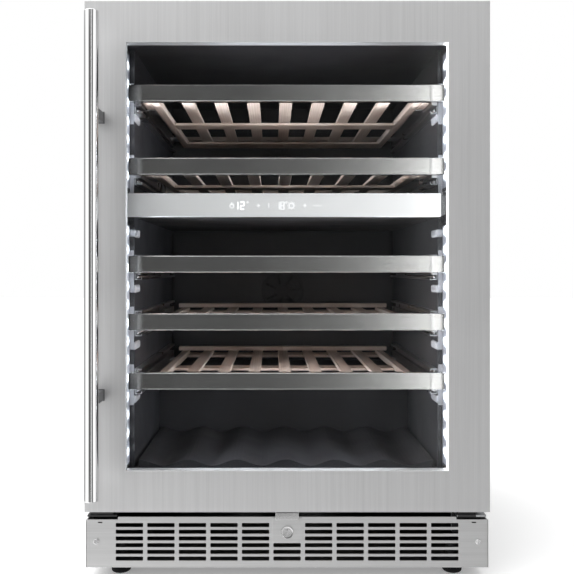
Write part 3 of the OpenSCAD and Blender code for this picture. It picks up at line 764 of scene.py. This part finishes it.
def makeStrike():
    lo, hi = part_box("lock_strike")
    base = roundedBlock("strikeBase", (lo.x, lo.y, hi.z - 0.002), hi, 0.0005)
    lip = roundedBlock("strikeLip", lo, (hi.x, lo.y + 0.0016, hi.z), 0.0006)
    hook = roundedBlock("strikeHook", (lo.x, hi.y - 0.0015, lo.z + 0.005), hi, 0.0005)
    place(joinAs("lockStrike", [base, lip, hook]), "door", "brightSteel", ["lock_strike"], "bright_steel")


makeDoorSkin()
makeHandle()
makeGasket()
makeStrike()
print("door pieces ready")


# ---- shelves

shelfSizes = {
    "railIn": 0.204, "railOut": 0.218, "earOut": 0.232, "earDepth": 0.068, "slat": 0.021, "slats": 7,
    "low": 0.0015, "slatLow": 0.0065, "top": 0.013, "cross": (0.206, 0.246), "rear": 0.056, "depth": 0.467,
    "frontDepth": 0.012, "frontHeight": 0.027, "stop": (0.440, 0.454, 0.009), "rounding": 0.0016,
}
slideSizes = {
    "innerX": (0.233, 0.241), "innerZ": (-0.003, 0.017), "outerX": (0.234, 0.246), "outerZ": (-0.012, 0.029),
    "start": 0.014, "fixedStart": 0.034, "length": 0.4, "groove": (0.002, 0.006), "sheet": 0.0013, "lip": 0.004,
    "brackets": (0.084, 0.350), "bracketLong": 0.036, "ball": 0.0026, "balls": 12, "ballPitch": 0.011,
}


def makeShelves():
    s = shelfSizes
    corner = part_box("shelf_1_trim")[0]
    y0, z0 = corner.y, corner.z

    def stick(xs, ys, zs):
        x0, x1 = sorted(xs)
        return roundedBlock("stick", (x0, y0 + ys[0], z0 + zs[0]), (x1, y0 + ys[1], z0 + zs[1]), s["rounding"])

    sticks = []
    whole, under = (s["low"], s["top"]), (s["low"], s["slatLow"])
    for side in (-1, 1):
        inner, outer, ear = side * s["railIn"], side * s["railOut"], side * s["earOut"]
        sticks.append(stick((inner, outer), (s["frontDepth"], s["depth"]), whole))
        sticks.append(stick((outer, ear), (s["frontDepth"], s["earDepth"]), whole))
    gap = (2 * s["railIn"] - s["slats"] * s["slat"]) / (s["slats"] + 1)
    for index in range(s["slats"]):
        x = -s["railIn"] + gap + index * (s["slat"] + gap)
        sticks.append(stick((x, x + s["slat"]), (s["frontDepth"], s["depth"] - 0.001),
                            (s["slatLow"] + 0.0002, s["top"])))
    lengthwise = joinAs("shelf1Slats", sticks)

    between = (-s["railIn"], s["railIn"])
    front = stick((-s["earOut"], s["earOut"]), (0.0015, s["frontDepth"]), (s["low"], s["frontHeight"] - 0.0015))
    cross = stick(between, s["cross"], under)
    rear = stick(between, (s["depth"] - s["rear"], s["depth"]), under)
    stop = stick((-0.226, 0.226), s["stop"][:2], (s["top"], s["top"] + s["stop"][2]))
    crosswise = joinAs("shelf1Rails", [front, cross, rear, stop])

    # steel front: a shallow tray with closed ends, folded over the front rail
    lo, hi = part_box("shelf_1_trim")
    face = addBlock("shelf1Front", lo, hi)
    selectIn(face, "EDGE", lambda edge: all(vert.co.y < lo.y + 0.0001 for vert in edge.verts)
             and abs(edge.verts[0].co.x - edge.verts[1].co.x) > 0.1)
    bpy.ops.mesh.bevel(offset=0.0017, segments=4, affect="EDGES")
    selectIn(face, "FACE", facing(1, 1))
    bpy.ops.mesh.delete(type="FACE")
    leaveEdit()
    finishWith(face, "SOLIDIFY", thickness=0.0013, offset=-1, use_even_offset=True)
    soften(face, 0.0003, 2)

    # sliding members: a channel, a folded front tab and two brackets on each side
    w = slideSizes
    a, b = w["innerX"]
    low, high = w["innerZ"]
    channel = addBlock("channel", (a, y0 + w["start"], z0 + low), (b, y0 + w["start"] + w["length"], z0 + high))
    selectIn(channel, "FACE", facing(0, 1))
    bpy.ops.mesh.inset(thickness=w["groove"][0], depth=0)
    push(-w["groove"][1], 0, 0)
    leaveEdit()
    soften(channel, 0.0004, 2)
    tab = roundedBlock("tab", (a - 0.001, y0 + 0.0125, z0 + low - 0.0005),
                       (b + 0.0002, y0 + 0.0145, z0 + high + 0.0005), 0.0005)
    brackets = []
    for start in w["brackets"]:
        y, long = y0 + start, w["bracketLong"]
        brackets.append(roundedBlock("bracket", (s["railOut"], y, z0 + 0.003), (a, y + long, z0 + 0.005), 0.0005))
        brackets.append(roundedRod("rivet", (0.2255, y + long / 2, z0 + 0.0055), 0.0026, 0.0018, "Z", 20, 0.0005))
    right = joinAs("slideRight", [channel, tab] + brackets)
    left = mirrorTo(right, "slideLeft")
    slides = joinAs("shelf1Slides", [right, left])

    parts = {"Slats": (lengthwise, "beechAlongY", "beech"), "Rails": (crosswise, "beechAlongX", "beech"),
             "Front": (face, "trimSteel", "brushed_steel"), "Slides": (slides, "slideSteel", "galvanised")}
    stands = {"Slats": "wood", "Front": "trim", "Slides": "runners"}
    drops = [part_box(f"shelf_{number}_trim")[0].z - z0 for number in range(1, 6)]
    for number in range(5, 0, -1):
        for part, (source, finish, slot) in parts.items():
            obj = source if number == 1 else copyTo(source, f"shelf{number}{part}", (0, 0, drops[number - 1]))
            nodes = [f"shelf_{number}_{stands[part]}"] if part in stands else []
            place(obj, f"shelf_{number}", finish, nodes, slot)


def makeFixedSlides():
    # tall telescopic slides: a channel with a ball cage on each wall, one pair for each shelf
    w = slideSizes
    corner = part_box("shelf_1_trim")[0]
    a, b = w["outerX"]
    sheet, lip = w["sheet"], w["lip"]
    y0, z0, z1 = corner.y + w["fixedStart"], corner.z + w["outerZ"][0], corner.z + w["outerZ"][1]
    y1 = y0 + w["length"]
    steel = [roundedBlock("web", (b - sheet, y0, z0), (b, y1, z1), 0.0004)]
    for za, zb in ((z0, z0 + sheet), (z1 - sheet, z1)):
        steel.append(roundedBlock("flange", (a, y0, za), (b, y1, zb), 0.0004))
    for za, zb in ((z0, z0 + lip), (z1 - lip, z1)):
        steel.append(roundedBlock("lip", (a, y0, za), (a + sheet, y1, zb), 0.0004))
    steel = joinAs("fixedRight", steel)
    cages, balls = [], []
    rows = (z0 + 0.0045, z1 - 0.0045)
    for z in rows:
        cages.append(roundedBlock("cage", (b - 0.0065, y0 + 0.002, z - 0.0018),
                                  (b - 0.0030, y0 + 0.24, z + 0.0018), 0.0005))
    for index in range(w["balls"]):
        for z in rows:
            deselectAll()
            bpy.ops.mesh.primitive_uv_sphere_add(segments=12, ring_count=8, radius=w["ball"],
                                                 location=(b - 0.0048, y0 + 0.004 + index * w["ballPitch"], z))
            balls.append(smooth(settle(bpy.context.object, "ball")))
    cage = joinAs("slideCage", cages + balls)
    for name, source, finish, nodes, slot in (
            ("fixedSlides", steel, "slideSteel", ["outer_runners"], "galvanised"),
            ("slideCages", cage, "brightSteel", [], "bright_steel")):
        pair = joinAs("fixedPair", [source, mirrorTo(source, "fixedLeft")])
        pairs = [pair]
        for number in range(2, 6):
            pairs.append(copyTo(pair, "fixedPair", (0, 0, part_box(f"shelf_{number}_trim")[0].z - corner.z)))
        place(joinAs(name, pairs), "cabinet", finish, nodes, slot)


makeShelves()
makeFixedSlides()
print("shelves ready")


# ---- plinth, lock and screws

plinthSizes = {
    "sheet": 0.0015, "columns": 11, "rows": 6, "slot": (0.041, 0.006), "pitch": (0.04734, 0.01006),
    "topRow": 0.0637, "notch": (0.048, 0.004), "endSlot": (0.2805, 0.0066, 0.0018), "endSlotDrop": 0.0085,
    "lockPlate": (0.0225, 0.0365), "lockPlateDrop": 0.0015,
}


def makePlinth():
    p = plinthSizes
    lo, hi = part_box("plinth_grille")
    y = lo.y + 0.001  # the lock plate stands a millimetre proud
    plate = addBlock("plinthPlate", (lo.x, y, lo.z), (hi.x, y + p["sheet"], hi.z))
    width, height = p["slot"]
    first = addBlock("slotCutter", (-width / 2, y - 0.01, -height / 2), (width / 2, y + 0.01, height / 2))
    selectIn(first, "EDGE", alongY)
    bpy.ops.mesh.bevel(offset=0.0012, segments=3, affect="EDGES")
    leaveEdit()
    cutters = []
    middle = (p["columns"] - 1) // 2
    for column in range(p["columns"]):
        for row in range(p["rows"]):
            if column == middle and row < 3:
                continue
            shift = ((column - middle) * p["pitch"][0], 0, lo.z + p["topRow"] - row * p["pitch"][1])
            cutters.append(copyTo(first, "slotCutter", shift))
    for side in (-1, 1):
        xa, xb = sorted((side * (hi.x - p["notch"][0]), side * 0.32))
        cutters.append(addBlock("notchCutter", (xa, y - 0.01, hi.z - p["notch"][1]), (xb, y + 0.01, hi.z + 0.01)))
        x, wide, tall = p["endSlot"]
        z = hi.z - p["endSlotDrop"]
        cutters.append(addBlock("endSlotCutter", (side * x - wide / 2, y - 0.01, z - tall / 2),
                                (side * x + wide / 2, y + 0.01, z + tall / 2)))
    remove(first)
    cutWith(plate, joinAs("plinthCutters", cutters))
    soften(plate, 0.0003, 2)
    returns = [sideBlock("plinthReturn", side, (hi.x - p["sheet"], hi.x), (y, hi.y), (lo.z, hi.z - 0.005), 0.0004)
               for side in (-1, 1)]
    half, tall = p["lockPlate"]
    top = hi.z - p["lockPlateDrop"]
    lockPlate = addBlock("lockPlate", (-half, lo.y, top - tall), (half, y + 0.0002, top))
    soften(lockPlate, 0.0007, 2)
    place(joinAs("plinthGrille", [plate, lockPlate] + returns), "cabinet", "plinthSteel", ["plinth_grille"],
          "brushed_steel")


lockSizes = {"barrel": 0.0079, "bezel": (0.0092, 0.0028), "dish": (0.0022, -0.0007), "cam": (0.003, 0.006),
             "key": (0.001, 0.0042, 0.007)}


def makeLock():
    k = lockSizes
    lo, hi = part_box("lock_cylinder")
    z, face = (lo.z + hi.z) / 2, lo.y + 0.001
    barrel = roundedRod("barrel", (0, (face + hi.y) / 2, z), k["barrel"], hi.y - face, "Y", 48, 0.0006)
    radius, deep = k["bezel"]
    bezel = addRod("bezel", (0, lo.y + deep / 2, z), radius, deep, "Y", 48)
    selectIn(bezel, "FACE", facing(1, -1))
    bpy.ops.mesh.inset(thickness=k["dish"][0], depth=k["dish"][1])
    leaveEdit()
    soften(bezel, 0.0006, 2, 50)
    thick, half = k["cam"]
    cam = roundedBlock("cam", (lo.x + 0.0032, hi.y - thick, z - half), (hi.x, hi.y, z + half), 0.0007)
    lock = joinAs("lockBarrel", [barrel, bezel, cam])
    wide, tall, deep = k["key"]
    cutWith(lock, addBlock("keyCutter", (-wide, lo.y - 0.002, z - tall), (wide, lo.y + deep, z + tall)))
    place(smooth(lock), "lock_barrel", "brightSteel", ["lock_cylinder"], "bright_steel")


screwSpots = [  # place in millimetres, then the side that the head faces
    (270, -195, 872, "+Z"), (288, -179, 872, "+Z"), (270, -163, 872, "+Z"),
    (268, -216, 70.5, "-Y"), (290, -216, 70.5, "-Y"), (-286.5, -256, 59.5, "-Y"), (286.5, -256, 59.5, "-Y"),
    (-200, 326, 276, "+Y"), (200, 326, 276, "+Y"), (-200, 326, 819, "+Y"), (200, 326, 819, "+Y"),
    (-270, 326, 34, "+Y"), (270, 326, 34, "+Y"), (-270, 326, 222, "+Y"), (270, 326, 222, "+Y"),
]
screwSizes = {"head": (0.0042, 0.002), "cross": (0.0026, 0.0005), "crossFrom": 0.0008}


def makeScrews():
    radius, tall = screwSizes["head"]
    head = roundedRod("screwHead", (0, 0, tall / 2), radius, tall, "Z", 28, 0.0009, 3)
    long, thin = screwSizes["cross"]
    for x, y in ((long, thin), (thin, long)):
        cutWith(head, addBlock("crossCutter", (-x, -y, screwSizes["crossFrom"]), (x, y, 0.004)))
    smooth(head)
    turns = {"+Z": (0, 0, 0), "-Y": (math.pi / 2, 0, 0), "+Y": (-math.pi / 2, 0, 0)}
    copies = []
    for x, y, z, side in screwSpots:
        pick(head)
        bpy.ops.object.duplicate(linked=False)
        copy = bpy.context.object
        copy.rotation_euler = turns[side]
        copy.location = (x / 1000, y / 1000, z / 1000)
        copies.append(settle(copy, "screw"))
    remove(head)
    place(joinAs("cabinetScrews", copies), "cabinet", "brightSteel", ["cabinet_screws"], "bright_steel")


makePlinth()
makeLock()
makeScrews()
print("plinth ready")


# ---- feet

footSizes = {
    "pad": 0.015, "padZ": (0.0003, 0.0105), "chamfer": 0.0035, "rim": 0.003, "hollow": 0.0022, "hex": 0.0115,
    "hexZ": (0.0102, 0.0138), "stem": 0.0048, "pitch": 0.0015, "threads": 25,
}


def makeFeet():
    f = footSizes
    lo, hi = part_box("foot_front_left")
    x, y = (lo.x + hi.x) / 2, (lo.y + hi.y) / 2
    (padLow, padTop), (hexLow, hexTop) = f["padZ"], f["hexZ"]
    pad = addRod("footPad", (x, y, (padLow + padTop) / 2), f["pad"], padTop - padLow, "Z", 48)
    selectIn(pad, "EDGE", lambda edge: all(vert.co.z < 0.001 for vert in edge.verts))
    bpy.ops.mesh.bevel(offset=f["chamfer"], segments=4, affect="EDGES")
    selectIn(pad, "FACE", facing(2, -1))
    bpy.ops.mesh.inset(thickness=f["rim"], depth=0)
    push(0, 0, f["hollow"])
    leaveEdit()
    soften(pad, 0.0008, 2, 50)
    nut = soften(addRod("footNut", (x, y, (hexLow + hexTop) / 2), f["hex"], hexTop - hexLow, "Z", 6), 0.0006, 2)
    pitch = f["pitch"]
    ridge = roundedRod("footThread", (x, y, hexTop + 0.3 * pitch), f["stem"], pitch, "Z", 28, 0.0006, 1)
    finishWith(ridge, "ARRAY", count=f["threads"], use_relative_offset=False, use_constant_offset=True,
               constant_offset_displace=(0, 0, pitch))
    first = joinAs("footFrontLeft", [pad, nut, ridge])
    for name in ("front_right", "rear_left", "rear_right"):
        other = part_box("foot_" + name)
        shift = ((other[0].x + other[1].x) / 2 - x, (other[0].y + other[1].y) / 2 - y, 0)
        title = "foot" + name.title().replace("_", "")
        place(copyTo(first, title, shift), f"foot_{name}_unit", "footPlastic", ["foot_" + name], "black_plastic")
    place(first, "foot_front_left_unit", "footPlastic", ["foot_front_left"], "black_plastic")


makeFeet()
print("feet ready")


# ---- control strip and lamps

stripSizes = {"markZ": 0.5672, "deep": 0.0002, "line": 0.0008, "capTo": 0.2495, "capTaper": 0.86}


def makeStrip():
    lo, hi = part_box("control_fascia")
    strip = openPan("controlStrip", lo, hi, [(1, 1)], 0.0012, 0.0009)
    place(strip, "cabinet", "stripSteelPaintedLight", ["control_fascia"], "brushed_steel")
    end = stripSizes["capTo"]
    cap = addBlock("stripCap", (hi.x + 0.0004, lo.y + 0.0006, lo.z + 0.0015), (end, hi.y, hi.z - 0.0015))
    selectIn(cap, "VERT", lambda vert: vert.co.x > end - 0.0005)
    bpy.ops.transform.resize(value=(1, 1, stripSizes["capTaper"]))
    leaveEdit()
    soften(cap, 0.0008)
    place(cap, "cabinet", "greyPlastic", slot="black_plastic")


digitBars = {  # the seven bars of a digit, in halves of its width and quarters of its height
    "top": (0, 2, "H"), "middle": (0, 0, "H"), "bottom": (0, -2, "H"), "upperLeft": (-1, 1, "V"),
    "upperRight": (1, 1, "V"), "lowerLeft": (-1, -1, "V"), "lowerRight": (1, -1, "V"),
}
digitShapes = {
    "1": ("upperRight", "lowerRight"), "2": ("top", "upperRight", "middle", "lowerLeft", "bottom"),
    "8": tuple(digitBars),
}
markPlaces = {  # along the strip
    "switch": -0.0855, "upper": ((-0.0785, "1", 0.0058), (-0.0690, "2", 0.0064)), "degrees": (-0.0608, -0.0003),
    "plus": (-0.0440, 0.0285), "divider": -0.0280, "lower": ((-0.0140, "1", 0.0058), (-0.0065, "8", 0.0058)),
    "lamp": 0.0075, "minus": 0.0480,
}


def makeMarks():
    # lit marks: two readouts, plus and minus, a lamp and a switch sign
    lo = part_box("control_fascia")[0]
    y0, y1 = lo.y - stripSizes["deep"], lo.y + 0.0002
    line, z0 = stripSizes["line"], stripSizes["markZ"]
    at = markPlaces
    parts, bright = [], []

    def bar(x, z, wide, tall, group=parts):
        group.append(roundedBlock("mark", (x - wide / 2, y0, z - tall / 2), (x + wide / 2, y1, z + tall / 2),
                                  0.0002, 1))

    def digit(x, which, wide, group, tall=0.0116):
        for name in digitShapes[which]:
            across, up, way = digitBars[name]
            if way == "H":
                bar(x, z0 + up * tall / 4, wide - line, line, group)
            else:
                bar(x + across * (wide - line) / 2, z0 + up * tall / 4, line, tall / 2 - line * 0.6, group)

    def ringMark(x, z, radius, width):
        ring = addTorus("ringMark", (x, (y0 + y1) / 2, z), radius, width, 28)
        selectIn(ring, "VERT", lambda vert: True)
        bpy.ops.transform.resize(value=(1, 0.4, 1))
        leaveEdit()
        parts.append(ring)

    ringMark(at["switch"], z0 - 0.0005, 0.0030, 0.0004)
    bar(at["switch"], z0 + 0.0030, line, 0.0042)
    for readout, group in (("upper", bright), ("lower", parts)):
        for x, which, wide in at[readout]:
            digit(x, which, wide, group)
    for x in at["degrees"]:
        ringMark(x, z0 + 0.0052, 0.0011, 0.0003)
    for x in at["plus"]:
        bar(x, z0, 0.0052, line)
        bar(x, z0, line, 0.0052)
    bar(at["divider"], z0, line, 0.0070)
    ringMark(at["lamp"], z0, 0.0040, 0.0005)
    for turn in range(8):
        angle = turn * math.pi / 4
        bar(at["lamp"] + 0.0062 * math.cos(angle), z0 + 0.0062 * math.sin(angle), 0.0009, 0.0009)
    bar(at["minus"], z0, 0.0130, line)
    place(joinAs("controlMarks", parts), "cabinet", "faintGlow", slot="lamp_board")
    place(joinAs("controlDigits", bright), "cabinet", "iconGlow", slot="lamp_board")


lampSizes = {"thick": 0.0012, "rim": 0.002, "raised": 0.0006, "gap": 0.006, "clip": 0.003, "clipProud": 0.0007}


def makeLamps():
    # a lens over each lamp strip, in two lengths, with a clip at each end
    m = lampSizes
    lo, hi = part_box("led_lenses")
    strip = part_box("control_fascia")
    lenses, clips = [], []
    for side in (-1, 1):
        for za, zb in ((lo.z, strip[0].z - m["gap"]), (strip[1].z + m["gap"], hi.z)):
            xa, xb = sorted((side * (hi.x - m["thick"]), side * hi.x))
            lens = addBlock("lens", (xa, lo.y, za), (xb, hi.y, zb))
            selectIn(lens, "FACE", lambda face: face.normal.x * side < -0.9)
            bpy.ops.mesh.inset(thickness=m["rim"], depth=0)
            push(-side * m["raised"], 0, 0)
            leaveEdit()
            lenses.append(soften(lens, 0.0004))
            inner = hi.x - m["thick"] - m["clipProud"]
            for z in (za + m["clip"], zb - m["clip"]):
                clips.append(sideBlock("clip", side, (inner, hi.x), (lo.y - 0.0015, hi.y + 0.0015),
                                       (z - m["clip"], z + m["clip"]), 0.0005))
    place(joinAs("lampLenses", lenses), "cabinet", "lamps", ["led_lenses"], "lamp_lens")
    place(joinAs("lampClips", clips), "cabinet", "blackPlastic", slot="black_plastic")


padSizes = {
    "heights": (0.714, 0.621, 0.5265, 0.436, 0.3435, 0.257), "x": (0.2432, 0.2553), "y": (-0.1668, -0.126),
    "tall": 0.013, "plateX": (0.2468, 0.2552), "plateY": (-0.1666, -0.1652), "plateZ": (-0.030, 0.036),
}


def makeLinerPads():
    # moulded pads around the edge of the liner's walls, and a plate behind the end of each shelf; their pale grey is
    # partly plastic colour and partly painted light from the lamps
    p = padSizes
    (x0, x1), (y0, y1), half = p["x"], p["y"], p["tall"] / 2
    pads = [roundedBlock("pad", (x0, y0, z - half), (x1, y1, z + half), 0.0035, 4) for z in p["heights"]]
    (x0, x1), (y0, y1), (below, above) = p["plateX"], p["plateY"], p["plateZ"]
    plates = []
    for number in range(1, 6):
        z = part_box(f"shelf_{number}_trim")[0].z
        plates.append(roundedBlock("plate", (x0, y0, z + below), (x1, y1, z + above), 0.0005))
    for name, group in (("linerPads", pads), ("slidePlates", plates)):
        right = joinAs(name, group)
        place(joinAs(name, [right, mirrorTo(right, "left")]), "cabinet", "padTintAndPaintedLight", slot="black_liner")


makeStrip()
makeMarks()
makeLamps()
makeLinerPads()
print("inside pieces ready")


# ---- case, hinges and rear

caseSizes = {"sheet": 0.0012, "frontFrom": 0.0985, "border": 0.0312, "inset": 0.0008, "frontDeep": 0.0022}


def makeCase():
    # folded case, open at the front, the rear and below, with a frame round its front
    c = caseSizes
    lo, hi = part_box("cabinet_shell")
    case = openPan("caseWrap", lo, hi, [(1, -1), (1, 1), (2, -1)], c["sheet"], 0.0006)
    front = addRing("caseFront", (lo.x + c["inset"], lo.y - 0.0001, c["frontFrom"]),
                    (hi.x - c["inset"], lo.y + c["frontDeep"], hi.z - c["inset"]), c["border"])
    soften(front, 0.0004)
    place(joinAs("caseShell", [case, front]), "cabinet", "casePaint", ["cabinet_shell"], "black_paint")


hingeSizes = {
    "plate": 0.003, "corner": 0.006, "pinAt": (0.2935, -0.233), "pin": 0.004, "head": (0.0055, 0.0012),
    # the cover, lip and shroud sizes below are for black blocks of painted shade over the bottom hinge
    "shadeCoverTo": 0.2845, "shadeCoverZ": (0.0982, 0.1052), "shadeLipZ": (0.0948, 0.0988), "shadeShroud": (0.0085, 0.0031),
}


def makeHinges():
    h = hingeSizes
    lo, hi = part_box("top_hinge")
    under = hi.z - h["plate"]
    plate = addBlock("hingePlate", (lo.x, lo.y, under), hi)
    selectIn(plate, "EDGE", lambda edge: abs(edge.verts[0].co.z - edge.verts[1].co.z) > 0.002)
    bpy.ops.mesh.bevel(offset=h["corner"], segments=5, affect="EDGES")
    leaveEdit()
    soften(plate, 0.0006)
    pin = roundedRod("hingePin", (*h["pinAt"], (lo.z + under) / 2), h["pin"], under - lo.z, "Z", 32, 0.0008)
    radius, tall = h["head"]
    cap = roundedRod("pinHead", (*h["pinAt"], hi.z + 0.0004), radius, tall, "Z", 32, 0.0005)
    place(joinAs("topHinge", [plate, pin, cap]), "cabinet", "casePaint", ["top_hinge"], "black_paint")

    # plate and block in the free corner
    lo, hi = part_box("hinge_blank")
    blank = roundedBlock("cornerPlate", lo, hi, 0.0007)
    block = roundedBlock("cornerBlock", (lo.x + 0.004, lo.y + 0.002, hi.z - 0.0005),
                         (hi.x - 0.006, lo.y + 0.026, hi.z + 0.006), 0.0009)
    place(joinAs("hingeBlank", [blank, block]), "cabinet", "blackPlastic", ["hinge_blank"], "black_plastic")

    # black covers over the bottom hinge: painted shade, dark blocks that stand for the shadow behind the plinth's
    # slots and over the hinge plate's front edge
    lo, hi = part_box("bottom_hinge")
    end, (coverLow, coverTop), (lipLow, lipTop) = h["shadeCoverTo"], h["shadeCoverZ"], h["shadeLipZ"]
    front, rear = h["shadeShroud"]
    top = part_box("plinth_grille")[1].z - 0.0022
    cover = roundedBlock("hingeShadeCover", (lo.x + 0.001, lo.y + 0.002, coverLow), (end, lo.y + 0.024, coverTop), 0.0009)
    lip = roundedBlock("hingeShadeLip", (lo.x + 0.001, lo.y - 0.001, lipLow), (end, lo.y + 0.003, lipTop), 0.0005)
    shadeShroud = roundedBlock("bracketShadeCover", (lo.x + 0.0005, hi.y - front, lo.z), (hi.x - 0.001, hi.y - rear, top),
                          0.0009)
    place(joinAs("hingeShadeCovers", [cover, lip, shadeShroud]), "cabinet", "blackPlastic", slot="black_plastic")


rearSizes = {
    "margin": 0.028, "pressed": 0.0022, "fieldMargin": 0.055, "field": 0.0014, "columns": (0.060, 0.098, 0.136, 0.174),
    "rows": 10, "firstRow": 0.0872, "pitch": 0.013, "slot": (0.030, 0.005), "slotEnd": 0.0022,
    "glandHole": 0.0092, "body": 0.0089, "flange": (0.012, 0.0025, 0.00475), "nut": 0.0066, "bore": 0.0045,
}


def makeRear():
    # pressed rear panel, slotted cover, cord gland
    r = rearSizes
    lo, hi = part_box("back_panel")
    panel = addBlock("rearPanel", lo, hi)
    selectIn(panel, "FACE", facing(1, 1))
    bpy.ops.mesh.inset(thickness=r["margin"], depth=0)
    push(0, r["pressed"], 0)
    bpy.ops.mesh.inset(thickness=r["fieldMargin"], depth=0)
    push(0, -r["field"], 0)
    leaveEdit()
    soften(panel, 0.0008, 2)
    place(panel, "cabinet", "zinc", ["back_panel"], "galvanised")

    glandLo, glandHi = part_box("cord_gland")
    x, z = (glandLo.x + glandHi.x) / 2, (glandLo.z + glandHi.z) / 2
    lo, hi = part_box("rear_vent_cover")
    cover = addBlock("rearVentCover", lo, hi)
    wide, tall = r["slot"]
    first = addBlock("ventCutter", (-wide / 2, lo.y - 0.01, 0), (wide / 2, hi.y + 0.01, tall))
    selectIn(first, "EDGE", alongY)
    bpy.ops.mesh.bevel(offset=r["slotEnd"], segments=4, affect="EDGES")
    leaveEdit()
    cutters = []
    for side in (-1, 1):
        for column in r["columns"]:
            for row in range(r["rows"]):
                shift = (side * column, 0, r["firstRow"] + row * r["pitch"])
                cutters.append(copyTo(first, "ventCutter", shift))
    cutters.append(addRod("glandCutter", (x, lo.y, z), r["glandHole"], 0.03, "Y", 40))
    remove(first)
    cutWith(cover, joinAs("ventCutters", cutters))
    soften(cover, 0.00025, 1)
    place(cover, "cabinet", "zinc", ["rear_vent_cover"], "galvanised")

    lo, hi = glandLo, glandHi
    radius, thick, back = r["flange"]
    body = roundedRod("glandBody", (x, (lo.y + hi.y) / 2, z), r["body"], hi.y - lo.y, "Y", 40, 0.0008)
    flange = roundedRod("glandFlange", (x, hi.y - back, z), radius, thick, "Y", 40, 0.0007)
    nut = soften(addRod("glandNut", (x, lo.y + 0.0034, z), radius, r["nut"], "Y", 8), 0.0007, 2)
    for part in (body, flange, nut):
        cutWith(part, addRod("glandBore", (x, hi.y, z), r["bore"], 0.06, "Y", 32))
    gland = smooth(joinAs("cordGland", [body, flange, nut]))
    place(gland, "cabinet", "sealRubber", ["cord_gland"], "black_rubber")


guardSizes = {"heights": (0.712, 0.420), "rings": (0.010, 0.020, 0.030, 0.040, 0.0465), "wire": 0.0008, "spokes": 3}


def makeFanGuards():
    # wire guards over the fan openings in the rear ducts
    g = guardSizes
    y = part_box("upper_air_duct")[0].y - g["wire"]
    wires = []
    for z in g["heights"]:
        for radius in g["rings"]:
            wires.append(smooth(addTorus("wire", (0, y, z), radius, g["wire"])))
        for turn in range(g["spokes"]):
            spoke = addRod("spoke", (0, 0, 0), 0.0009, 2 * g["rings"][-1], "X", 10)
            spoke.rotation_euler.y = turn * math.pi / g["spokes"]
            spoke.location = (0, y, z)
            wires.append(settle(spoke, "spoke"))
    place(joinAs("fanGuards", wires), "cabinet", "casePaint", slot="black_paint")


finSizes = {"first": 0.026, "thick": 0.0004, "insetY": 0.004, "insetZ": 0.012, "count": 22, "pitch": 0.0062}


def makeCondenserFins():
    f = finSizes
    lo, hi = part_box("condenser_coil")
    x = lo.x + f["first"]
    fin = addBlock("coilFins", (x, lo.y + f["insetY"], lo.z + f["insetZ"]),
                   (x + f["thick"], hi.y - f["insetY"], hi.z - f["insetZ"]))
    selectIn(fin, "FACE", lambda face: abs(face.normal.x) > 0.9)
    bpy.ops.mesh.inset(thickness=0.004, depth=0, use_individual=True)
    leaveEdit()
    finishWith(fin, "ARRAY", count=f["count"], use_relative_offset=False, use_constant_offset=True,
               constant_offset_displace=(f["pitch"], 0, 0))
    place(fin, "cabinet", "aluminium", slot="aluminium")


makeCase()
makeHinges()
makeRear()
makeFanGuards()
makeCondenserFins()
print("case ready")
